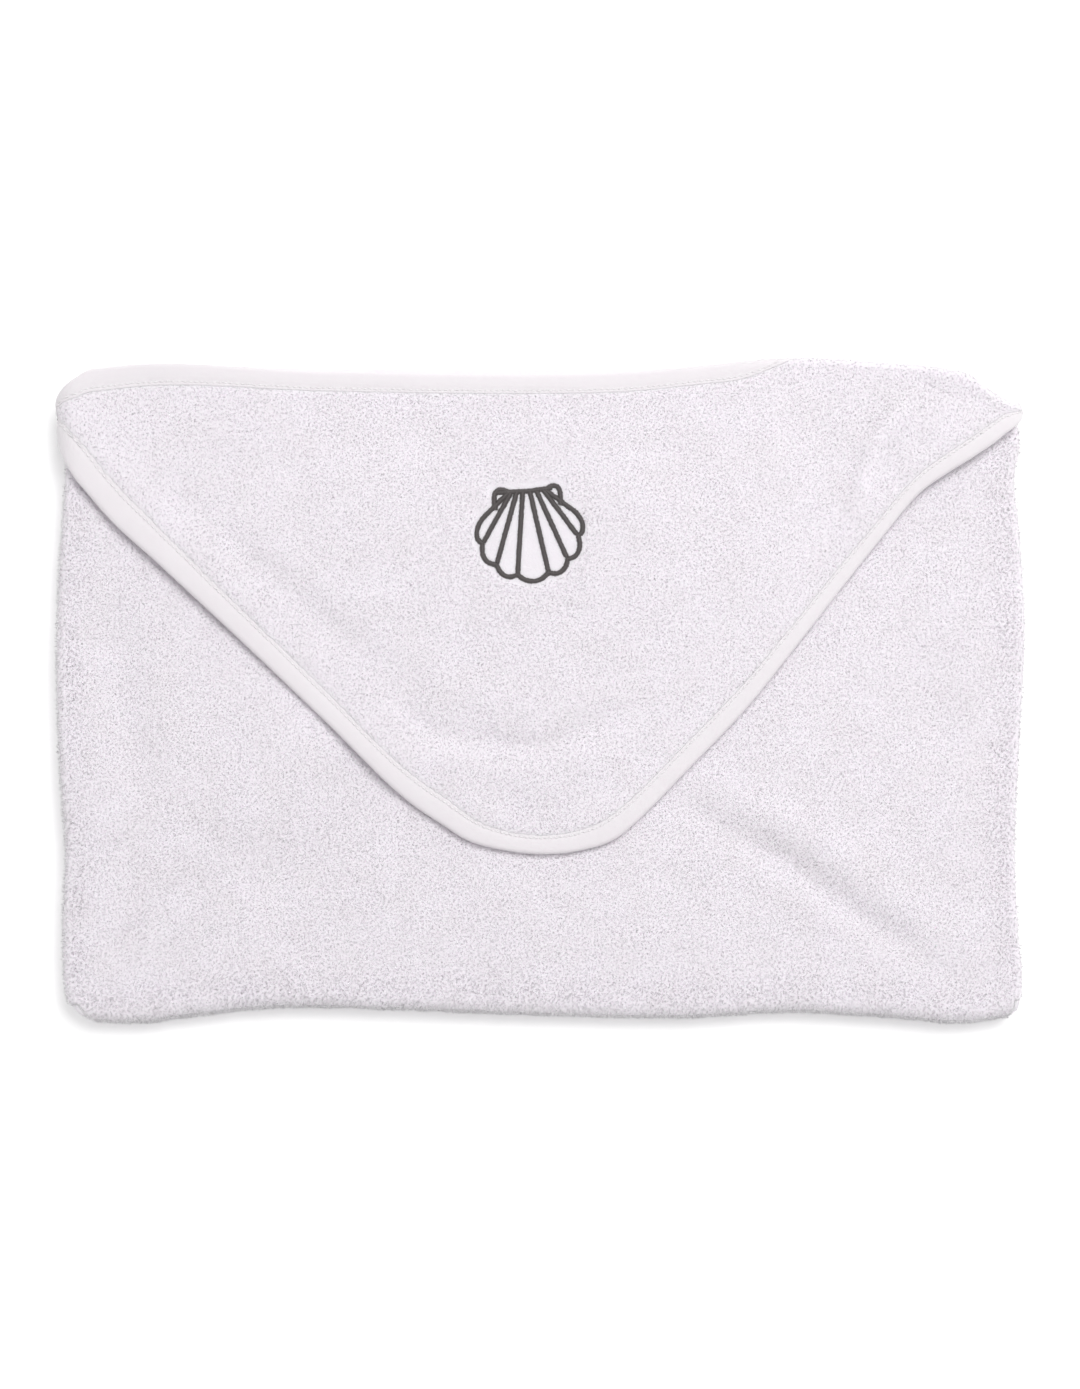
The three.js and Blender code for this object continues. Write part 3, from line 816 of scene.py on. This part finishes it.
def pressed(u, v):
    """A side of cloth that is pressed flat inside a fold, with no free pile."""
    return np.full_like(u, PRESSED_HALF)


def inner_share(drop):
    """How long the bottom bend is for cloth that lies drop inside it, as a share of its outer length."""
    around = BOTTOM_BEND_Y + BOTTOM_BEND_Z
    fuller_corners = 1.4
    return (around - 2 * drop + fuller_corners) / around


HALVES = ("middle_half", "front_half")
LAP = 2.2
LAP_DROP = 0.15


def lapped(side):
    """A side of the cloth that slips under its neighbours where the two pieces lap."""
    def lower(u, v):
        past = np.maximum.reduce([v - V_SEAM_FRONT, V_SEAM_MIDDLE - v, u - FLAT_RIGHT, -FLAT_LEFT - u])
        return side(u, v) - LAP_DROP * (past > 0.05)
    return lower


# Heights a little way in from each end of a bend, given to bend(), which does not use them.
SEAM_MARGIN = 1.6
WING_MARGIN = 1.8
TAIL_MARGIN = 1.9
FLAP_MARGIN = 1.2
seam_heights = length_fold(np.array([V_SEAM_MIDDLE, V_SEAM_FRONT]))[1]
TURNING = (float(seam_heights[0]) + SEAM_MARGIN, float(seam_heights[1]) - SEAM_MARGIN)
WING_END = 505.0
TAIL_REACH = 205.0
bend("bottom_fold_cloth",
     (-FLAT_LEFT - LAP, FLAT_RIGHT + LAP, V_SEAM_MIDDLE - LAP, V_SEAM_FRONT + LAP), FINE,
     (lapped(UPPER), lapped(LOWER)), HALVES, TURNING, ("bottom_fold",), ["floor"])
for side, ends, drop in (("left", (-WING_END, -FLAT_LEFT), WING_DROP_LEFT),
                         ("right", (FLAT_RIGHT, WING_END), WING_DROP_RIGHT)):
    bend(f"wing_fold_{side}_cloth", (*ends, V_MIDDLE_END, V_FRONT_END), MEDIUM, (pressed, pressed),
         HALVES, (Z_MIDDLE + drop + WING_MARGIN, Z_FRONT - drop - WING_MARGIN),
         (f"wing_fold_{side}",), ["middle_cloth"], inner_share(drop))
bend("tail_fold_cloth", (-TAIL_REACH, TAIL_REACH, V_TAIL, V_MIDDLE_TOP), MEDIUM, (pressed, pressed),
     ("middle_half", "tail"), (Z_MIDDLE + TAIL_MARGIN, Z_TAIL - TAIL_MARGIN), ("tail_fold",), ["floor"])

tail_window = (-TAIL_REACH, TAIL_REACH, -HALF_DIAGONAL, V_TAIL)
tail_cloth = cloth("tail_cloth", tail_window, COARSE, body_point, UPPER, LOWER, KEEP)
finish_piece(tail_cloth, TERRY_CLOTH, "tail", ("tail_panel",))
declare(tail_window, KEEP)

bend("top_fold_cloth", (-END_START - 2, END_START + 2, V_TOP_START, V_TOP_END), FINE,
     (pressed, LOWER), ("front_half", "hood_flap"),
     (Z_FRONT + FLAP_MARGIN, Z_CORNER - FLAP_MARGIN), ("top_fold",), ["front_cloth"])

END_REACH = 248.0


def corner_keep(u, v):
    return KEEP(u, v) & (np.abs(u) < END_START + 5)


corner_window = (-END_START - 6, END_START + 6, V_TOP_END, HALF_DIAGONAL - 20)
corner_cloth = cloth("towel_corner_cloth", corner_window, MEDIUM, body_point, UPPER, LOWER, corner_keep)
finish_piece(corner_cloth, TERRY_CLOTH, "hood_flap", ("towel_corner",))
declare(corner_window, corner_keep)

hood_window = (-END_REACH, END_REACH, V_FRONT_EDGE + 1.0, HALF_DIAGONAL - 20)
# The hood panel's drape turns the cloth's upper side down, so its seen side is the lower one.
hood_cloth = cloth("hood_cloth", hood_window, FINE, hood_middle, HOOD_INSIDE, HOOD_SEEN, KEEP)
finish_piece(hood_cloth, TERRY_CLOTH, "hood_flap", ("hood_panel",))
declare(hood_window, KEEP)

# ---- the free pile ----


def yarns(name, centres, radii, across, flat=None, sides=3):
    """Many short yarns as one mesh. centres is yarns x rings x 3, radii yarns x rings, and across a
    direction at right angles to each ring's yarn. Each yarn has its own cell of the bake map."""
    count, rings = centres.shape[:2]
    along = np.gradient(centres, axis=1)
    third = np.cross(along, across)
    third /= np.maximum(np.linalg.norm(third, axis=-1, keepdims=True), 1e-9)
    turns = 2 * PI * np.arange(sides) / sides
    spoke = (across[:, :, None] * np.cos(turns)[:, None] + third[:, :, None] * np.sin(turns)[:, None])
    points = centres[:, :, None] + spoke * radii[:, :, None, None]
    index = np.arange(count * rings * sides).reshape(count, rings, sides)
    turned = np.roll(index, -1, axis=2)
    quads = np.stack([index[:, :-1], turned[:, :-1], turned[:, 1:], index[:, 1:]], -1)
    obj = make_object(name, points.reshape(-1, 3), quads.reshape(-1, 4),
                      None if flat is None else np.repeat(flat, rings * sides, axis=0))
    cells = math.ceil(math.sqrt(count))
    number = np.arange(count)
    corner = np.stack([number % cells, number // cells], -1)[:, None, None, None] / cells
    ring, side = np.meshgrid(np.arange(rings - 1), np.arange(sides), indexing="ij")
    place = np.stack([np.stack([ring + a, side + b], -1) for a, b in ((0, 0), (0, 1), (1, 1), (1, 0))], 2)
    place = (place / (rings - 1, sides) * 0.9 + 0.05) / cells
    layer = obj.data.uv_layers.new(name="OFBake")
    layer.uv.foreach_set("vector", (corner + place[None]).astype(np.float32).ravel())
    return obj


def pile_loops(name, window, per_area, surface, side, sign, keep, seed):
    """Loose loops of yarn on one side of a cloth, per_area of them to a square millimetre."""
    rng = np.random.default_rng(seed)
    u0, u1, v0, v1 = window
    pitch = 1 / math.sqrt(per_area)
    u, v = np.meshgrid(np.arange(u0 + pitch / 2, u1, pitch), np.arange(v0 + pitch / 2, v1, pitch))
    u = np.clip((u + rng.uniform(-0.5, 0.5, u.shape) * pitch).ravel(), u0, u1)
    v = np.clip((v + rng.uniform(-0.5, 0.5, v.shape) * pitch).ravel(), v0, v1)
    wanted = keep(u, v)
    u, v = u[wanted], v[wanted]
    n = normals(surface, u, v)
    base = surface(u, v) + n * (sign * (side(u, v) - 0.3))[:, None]
    n = n * sign
    right = np.cross((0.0, 1.0, 0.0), n) + (1e-6, 0, 0)
    right /= np.linalg.norm(right, axis=-1, keepdims=True)
    ahead = np.cross(n, right)
    turn = PI * (1.2 * soft_noise(u + 800, v + 800, 13, seed + 1) + rng.uniform(-0.55, 0.55, u.shape))
    along = right * np.cos(turn)[:, None] + ahead * np.sin(turn)[:, None]
    across = np.cross(n, along)
    height = rng.uniform(0.5, 0.85, u.shape) * (1 + 0.2 * soft_noise(u + 800, v + 800, 7, seed + 2))
    at_side = smooth((np.abs(u) - 208) / 14) * (v < V_FRONT_TOP)
    at_bottom = smooth((V_FRONT_END + 14 - v) / 14)
    height *= 1 + EDGE_FLUFF * np.maximum(at_side, at_bottom)
    span = rng.uniform(0.55, 1.0, u.shape)
    lean = rng.normal(0, 0.45, u.shape) + 0.35 * soft_noise(u + 800, v + 800, 20, seed + 3)
    t = np.array([0.0, 0.5, 1.0])
    arch = np.array([0.0, 1.0, 0.0])
    centres = base[:, None] + along[:, None] * ((t - 0.5) * span[:, None])[..., None]
    centres = centres + n[:, None] * (arch * height[:, None])[..., None]
    centres = centres + across[:, None] * (arch * (lean * height)[:, None])[..., None]
    radii = np.broadcast_to(np.array([0.14, 0.16, 0.14]), (len(u), 3)) * rng.uniform(0.8, 1.2, (len(u), 1))
    return yarns(name, centres, radii, np.repeat(across[:, None], 3, axis=1), np.stack([u, v], -1))


# Loops to a square millimetre, and how much taller they stand at the folded edges.
PILE = 0.75
BEND_PILE = 1.0
EDGE_FLUFF = 0.7


def free(u, v):
    return edge_distance(u, v) > TAPE_WIDTH + 0.1


def seen_body(u, v):
    """The whole front, with the part that shows only when the flap is turned back."""
    return free(u, v) & front_keep(u, v)


def seen_hood(u, v):
    return free(u, v) & (hood_free(u, v) > 0.75)


front_pile = pile_loops("front_pile", front_strip, PILE, body_point, UPPER, 1, seen_body, 101)
finish_piece(front_pile, TERRY_CLOTH, "front_half")
hood_pile = pile_loops("hood_pile", hood_window, PILE, hood_middle, HOOD_SEEN, -1, seen_hood, 131)
finish_piece(hood_pile, TERRY_CLOTH, "hood_flap")
bottom_pile = pile_loops("bottom_fold_pile", (-FLAT_LEFT, FLAT_RIGHT, V_MIDDLE_END, V_SEAM_FRONT), BEND_PILE,
                         body_point, UPPER, 1, free, 151)
finish_piece(bottom_pile, TERRY_CLOTH, None)
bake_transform(bottom_pile)


# ---- the tape ----


def towel_edge(corner, start, end, step):
    """Places along the towel's edge round one corner, from start to end of the arc length measured
    from the corner's middle, with the inward direction. corner is 0 at +Y, 1 at -X, 2 at -Y, 3 at +X."""
    s = np.arange(start, end + step / 2, step)
    half_arc = CORNER_RADIUS * PI / 4
    angle = np.clip(s / CORNER_RADIUS, -PI / 4, PI / 4)
    straight = np.sign(s) * np.maximum(np.abs(s) - half_arc, 0)
    across = CORNER_RADIUS * np.sin(angle) + straight * math.cos(PI / 4)
    along = CORNER_CENTRE + CORNER_RADIUS * np.cos(angle) - np.abs(straight) * math.sin(PI / 4)
    inward_across, inward_along = -np.sin(angle), -np.cos(angle)
    turn = corner * PI / 2
    cos, sin = math.cos(turn), math.sin(turn)
    rotate = lambda a, b: (a * cos - b * sin, a * sin + b * cos)
    u, v = rotate(across, along)
    du, dv = rotate(inward_across, inward_along)
    return s, u, v, du, dv


TAPE_SKIN = 0.45
TAPE_HALF = 1.25
FLAP_TAPE_HALF = 2.2


def tape_profile(half):
    """The tape's section: (distance in from the edge, height) pairs, out round the edge and back
    inside. half is how far each of its two faces lies from the middle."""
    outer = []
    for d, dip in ((TAPE_WIDTH, -0.55), (TAPE_WIDTH - 0.5, -0.12), (7.9, -0.02), (7.3, -0.26),
                   (6.5, 0.0), (5.0, 0.12), (3.4, 0.14)):
        outer.append((d, half + dip))
    face = len(outer)
    for step in range(9):
        angle = PI / 2 - PI * step / 8
        outer.append((1.8 - 2.1 * math.cos(angle), half * math.sin(angle)))
    outer += [(d, -h) for d, h in outer[:face]][::-1]
    inner = [(d + TAPE_SKIN * 0.9 if d < 2 else d,
              h - math.copysign(TAPE_SKIN, h) if abs(h) > TAPE_SKIN else 0.0) for d, h in outer]
    return outer + inner[::-1]


def make_tape(name, path, surface, profile, heights=None):
    """Tape along path: (length, u, v, inward u, inward v), wrapping surface's cloth. heights(u, v)
    scales and shifts the section's height where the cloth's thickness changes."""
    s, u, v, du, dv = path
    rings, flats = [], []
    for k, (d, h) in enumerate(profile):
        pu, pv = u + du * d, v + dv * d
        height = h if heights is None else heights(pu, pv, h)
        pucker = 0.10 * np.sin(s * 2 * PI / 5.3 + 0.7 * np.sin(s / 17)) * (1 if d > 5 else 0.25)
        height = height + np.sign(h) * pucker + 0.08 * soft_noise(s + 500, s * 0 + d, 4.0, 83)
        point = surface(pu, pv) + normals(surface, pu, pv) * np.broadcast_to(height, s.shape)[:, None]
        rings.append(point)
        flats.append(np.stack([s, np.full_like(s, k * 0.7)], -1))
    return swept(name, np.stack(rings, 1), np.stack(flats, 1))


# Half of the cloth and tape where the tape pinches them.
PINCHED_HALF = 1.15


def edge_section(u, v, h):
    """On the flap the tape wraps two layers, so its two faces follow the hood panel and the corner."""
    return h * (hood_gap(u, v) / 2 + PINCHED_HALF) / FLAP_TAPE_HALF


FLAP_TAPE_END = 340.0
FRONT_TAPE_END = 244.0
SEEN_STEP = 1.3
HIDDEN_STEP = 2.0
flap_path = towel_edge(0, -FLAP_TAPE_END, FLAP_TAPE_END, SEEN_STEP)
flap_tape = make_tape("corner_tape", flap_path, edge_middle, tape_profile(FLAP_TAPE_HALF), edge_section)
finish_piece(flap_tape, TAPE, "hood_flap", ("corner_binding",))

front_s = np.arange(-FRONT_TAPE_END, FRONT_TAPE_END + 0.1, SEEN_STEP)
zero, one = np.zeros_like(front_s), np.ones_like(front_s)
front_path = (front_s, front_s, zero + V_FRONT_EDGE, zero, one)
hood_tape = make_tape("hood_front_tape", front_path, hood_middle, tape_profile(TAPE_HALF))
finish_piece(hood_tape, TAPE, "hood_flap", ("hood_front_binding",))


# The tape on the rest of the edge, which the folds hide.
for name, body, corner, start, end in (
    ("front_wing", "front_half", 1, -18.8, 380),
    ("middle_wing", "middle_half", 1, -408, -61),
    ("middle_corner", "middle_half", 2, 271, 318),
):
    for side, sign in (("left", 1), ("right", -1)):
        around = corner if sign > 0 or corner == 2 else 3
        ends = (start, end) if sign > 0 else (-end, -start)
        piece = make_tape(f"{name}_tape_{side}", towel_edge(around, *ends, HIDDEN_STEP), body_point,
                          tape_profile(TAPE_HALF))
        finish_piece(piece, TAPE, body, (f"{name}_binding_{side}",))
tail_tape = make_tape("tail_tape", towel_edge(2, -241, 241, HIDDEN_STEP), body_point,
                      tape_profile(TAPE_HALF))
finish_piece(tail_tape, TAPE, "tail", ("tail_binding",))


# ---- stitches ----


STITCH_INSET = 7.3
STITCH_PITCH = 2.7


def stitch_row(name, path, surface, height):
    """Lockstitches along path: short raised threads that dive into the tape at both ends."""
    s, u, v, du, dv = path
    starts = np.arange(s[0] + 2, s[-1] - 2, STITCH_PITCH)
    around, steps = 6, 6
    t = np.linspace(0, 1, steps)
    at = starts[:, None] + 0.12 * STITCH_PITCH + t * STITCH_PITCH * 0.76
    shift = STITCH_INSET + 0.12 * table(91)[0][np.arange(len(starts)) % 256, 0][:, None]
    line = lambda values: np.interp(at, s, values)
    pu, pv = line(u) + line(du) * shift, line(v) + line(dv) * shift
    n = normals(surface, pu, pv)
    level = np.broadcast_to(height(pu, pv), at.shape)[..., None]
    base = surface(pu, pv) + n * level
    out = n * np.sign(level)
    across = np.cross(np.gradient(base, axis=1), out)
    across /= np.linalg.norm(across, axis=-1, keepdims=True)
    centre = base + out * (0.40 * np.sin(PI * t) - 0.16)[:, None]
    radius = 0.30 * (0.35 + 0.65 * np.sin(PI * t) ** 0.5)
    turn = 2 * PI * np.arange(around)[:, None] / around
    spoke = np.cos(turn) * across[:, :, None] + np.sin(turn) * out[:, :, None]
    points = centre[:, :, None] + radius[:, None, None] * spoke
    index = np.arange(steps * around).reshape(steps, around)
    caps = [ring[[k]] for ring in (index[0][::-1], index[-1]) for k in ([0, 1, 2, 5], [2, 3, 4, 5])]
    faces = np.concatenate([ring_faces(index), *caps])
    faces = faces + (np.arange(len(starts)) * index.size)[:, None, None]
    return make_object(name, points.reshape(-1, 3), faces.reshape(-1, 4))


corner_stitches = stitch_row("corner_stitches", flap_path, edge_middle,
                             lambda u, v: -(hood_gap(u, v) / 2 + PINCHED_HALF) * 0.93)
finish_piece(corner_stitches, WHITE_THREAD, "hood_flap", ("corner_stitching",))
hood_stitches = stitch_row("hood_front_stitches", front_path, hood_middle,
                           lambda u, v: np.full_like(u, -1.08))
finish_piece(hood_stitches, WHITE_THREAD, "hood_flap", ("hood_front_stitching",))

# ---- the embroidered scallop ----

SHELL_SIDE = math.radians(63)
HINGE_INNER = 8.5
EAR_OUT = 14.0
SHELL_LINE = 2.3


def shell_point(angle, radius):
    turned = angle + SHELL_TILT
    return np.stack([SHELL_X + radius * np.sin(turned), SHELL_Y - radius * np.cos(turned)], -1)


def shell_radius(angle):
    return SHELL_RADIUS * np.cos(SHELL_FALLOFF * angle)


def hood_top(x, y, height):
    """A point height above the hood panel's middle surface, over the plan position on the flap."""
    u, v = x, V_FLAP + Y_TOP - y
    return hood_middle(u, v) - normals(hood_middle, u, v) * np.broadcast_to(height, x.shape)[:, None]


def along_line(points, step):
    """Evenly spaced places on a line through points, with the direction across it."""
    points = np.asarray(points, float)
    gone = np.concatenate([[0], np.cumsum(np.hypot(*np.diff(points, axis=0).T))])
    s = np.arange(0, gone[-1], step)
    x, y = np.interp(s, gone, points[:, 0]), np.interp(s, gone, points[:, 1])
    reach = 0.8
    ahead = [np.interp(s + reach, gone, points[:, k]) - np.interp(s - reach, gone, points[:, k])
             for k in (0, 1)]
    size = np.hypot(*ahead)
    return x, y, -ahead[1] / size, ahead[0] / size


# How high the satin's edge and its crown lie above the hood panel's middle.
SATIN_BASE = 0.85
SATIN_CROWN = 0.95


def satin(name, lines):
    """Lines of satin stitch: thread after thread laid across each line, over a padded core."""
    rng = np.random.default_rng(7)
    threads, radii, sideways = [], [], []
    steps = 7
    t = np.linspace(-1, 1, steps)
    for points in lines:
        x, y, across_x, across_y = along_line(points, 0.36)
        slant = 0.35
        dx, dy = across_x + slant * across_y, across_y - slant * across_x
        reach = (SHELL_LINE / 2) * rng.uniform(0.9, 1.12, x.shape) / math.hypot(1, slant)
        shift = rng.normal(0, 0.06, x.shape)
        rise = SATIN_CROWN * rng.uniform(0.9, 1.1, x.shape)
        run = []
        for k in range(steps):
            place = t[k] * reach + shift
            height = SATIN_BASE - 0.25 + rise * (1 - abs(t[k]) ** 2.4)
            run.append(hood_top(x + dx * place, y + dy * place, height))
        run = np.stack(run, 1)
        lift = run[:, 3] - (run[:, 0] + run[:, -1]) / 2
        side = np.cross(np.gradient(run, axis=1), lift[:, None])
        side /= np.maximum(np.linalg.norm(side, axis=-1, keepdims=True), 1e-9)
        threads.append(run)
        sideways.append(side)
        radii.append(np.full((len(x), steps), 0.21) * rng.uniform(0.85, 1.15, (len(x), 1)))
    return yarns(name, np.concatenate(threads), np.concatenate(radii), np.concatenate(sideways),
                 sides=5)


def shell_outline():
    """The scalloped edge lobe by lobe, with both sides drawn up to the hinge."""
    stops = [-SHELL_SIDE, *RIB_ANGLES, SHELL_SIDE]
    points = [hinge_point(-HINGE_INNER)]
    for start, end in zip(stops[:-1], stops[1:]):
        t = np.linspace(0, 1, 24, endpoint=False)
        angle = start + (end - start) * t
        lobe = SHELL_BULGE * np.sin(PI * t) ** 0.8
        points.extend(shell_point(angle, shell_radius(angle) + lobe))
    points.append(shell_point(SHELL_SIDE, shell_radius(SHELL_SIDE)))
    points.append(hinge_point(HINGE_INNER))
    return points


def hinge_point(along, above=0.0):
    """A point on the hinge line, along it from its middle and above it."""
    c, s = math.cos(SHELL_TILT), math.sin(SHELL_TILT)
    return np.array([SHELL_X + along * c - above * s, SHELL_Y + along * s + above * c])


def shell_hinge():
    """The hinge line with its two ears, each a small loop that comes back to the side."""
    line = [hinge_point(-EAR_OUT, 0.4), hinge_point(0, 0), hinge_point(EAR_OUT - 2, 0.8)]
    ears = []
    for side in (-1, 1):
        t = np.linspace(0, 1, 12)
        low = shell_point(side * SHELL_SIDE, 17.0)
        start = hinge_point(side * HINGE_INNER, 0.3)
        out = hinge_point(side * (EAR_OUT + 2.4), 1.4)
        bow = np.stack([(1 - a) ** 3 * start + 3 * a * (1 - a) ** 2 * hinge_point(side * EAR_OUT, 3.6)
                        + 3 * a * a * (1 - a) * out + a**3 * low for a in t])
        ears.append(bow)
    return [line, *ears]


def shell_ribs():
    """Ribs from places along the hinge out to the dips between the lobes."""
    starts = np.array([-7.6, -4.9, -2.0, 1.4, 4.6, 8.0])
    return [[hinge_point(start, -0.4), shell_point(angle, shell_radius(angle) - 0.6)]
            for start, angle in zip(starts, RIB_ANGLES)]


def core(name, lines):
    """The padding under the satin: a low rounded strip along each line, so that no cloth shows."""
    pieces_points, pieces_faces, used = [], [], 0
    for points in lines:
        x, y, across_x, across_y = along_line(points, 0.8)
        section = [(-0.44, -0.3), (-0.3, 0.62), (0.0, 0.8), (0.3, 0.62), (0.44, -0.3)]
        ring = np.stack([hood_top(x + across_x * SHELL_LINE * a, y + across_y * SHELL_LINE * a,
                                  SATIN_BASE + SATIN_CROWN * h - 0.3) for a, h in section], 1)
        count, around = ring.shape[:2]
        pieces_faces.append(ring_faces(used + np.arange(count * around).reshape(count, around)))
        pieces_points.append(ring.reshape(-1, 3))
        used += count * around
    return make_object(name, np.concatenate(pieces_points), np.concatenate(pieces_faces))


OUTLINE_LINES = [shell_outline(), *shell_hinge()]
for node, lines in (("shell_outline", OUTLINE_LINES), ("shell_ribs", shell_ribs())):
    finish_piece(satin(f"{node}_threads", lines), DARK_THREAD, "hood_flap", (node,))
    finish_piece(core(f"{node}_core", lines), DARK_THREAD, "hood_flap")


def backing_disc():
    """The thin stiffener under the hood panel, behind the embroidery."""
    rings, around = 14, 64
    radius = 30.0 * np.arange(rings + 1)[:, None] / rings
    turn = 2 * PI * np.arange(around) / around
    x = SHELL_X + radius * np.cos(turn)
    y = SHELL_Y - SHELL_RADIUS / 2 + radius * np.sin(turn)
    points = [hood_top(x.ravel(), y.ravel(), -1.15 - level) for level in (0.0, 0.3)]
    index = np.arange(x.size).reshape(x.shape)
    top = ring_faces(index)
    rim = ring_faces(np.stack([index[-1], index[-1] + index.size]))
    faces = np.concatenate([top, top[:, ::-1] + index.size, rim])
    return make_object("embroidery_backing_disc", np.concatenate(points), faces)


finish_piece(backing_disc(), BACKING, "hood_flap", ("embroidery_backing",))


# ---- the studio ----


def studio():
    """A plain pale floor, soft even light, and a camera that looks straight down."""
    mesh = bpy.data.meshes.new("floor")
    half = 3.0
    mesh.from_pydata([(-half, -half, 0), (half, -half, 0), (half, half, 0), (-half, half, 0)], [],
                     [(0, 1, 2, 3)])
    floor = add_object("floor", mesh)
    material, shader = new_material("paper_floor", (0.93, 0.93, 0.93), 0.9)
    shader.inputs["Emission Color"].default_value = (1, 1, 1, 1)
    shader.inputs["Emission Strength"].default_value = 0.2
    mesh.materials.append(material)

    world = bpy.data.worlds.new("soft_room")
    world.use_nodes = True
    world.node_tree.nodes["Background"].inputs["Color"].default_value = (1, 1, 1, 1)
    world.node_tree.nodes["Background"].inputs["Strength"].default_value = 0.58
    bpy.context.scene.world = world

    lamp = bpy.data.lights.new("softbox", "AREA")
    lamp.size = 1.2
    lamp.energy = 45
    lamp_object = add_object("softbox", lamp)
    lamp_object.location = (0.6, 0.9, 2.4)
    aim(lamp_object, (0, 0, 0))

    camera = bpy.data.cameras.new("camera")
    camera.lens = 85
    camera.sensor_width = 36
    camera_object = add_object("camera", camera)
    camera_object.location = (0.0002, 0.0009, 1.532 + 0.025)
    bpy.context.scene.camera = camera_object
    bpy.context.scene.view_settings.view_transform = "Standard"


def aim(obj, target):
    direction = Vector(target) - obj.location
    obj.rotation_euler = direction.to_track_quat("-Z", "Y").to_euler()


studio()
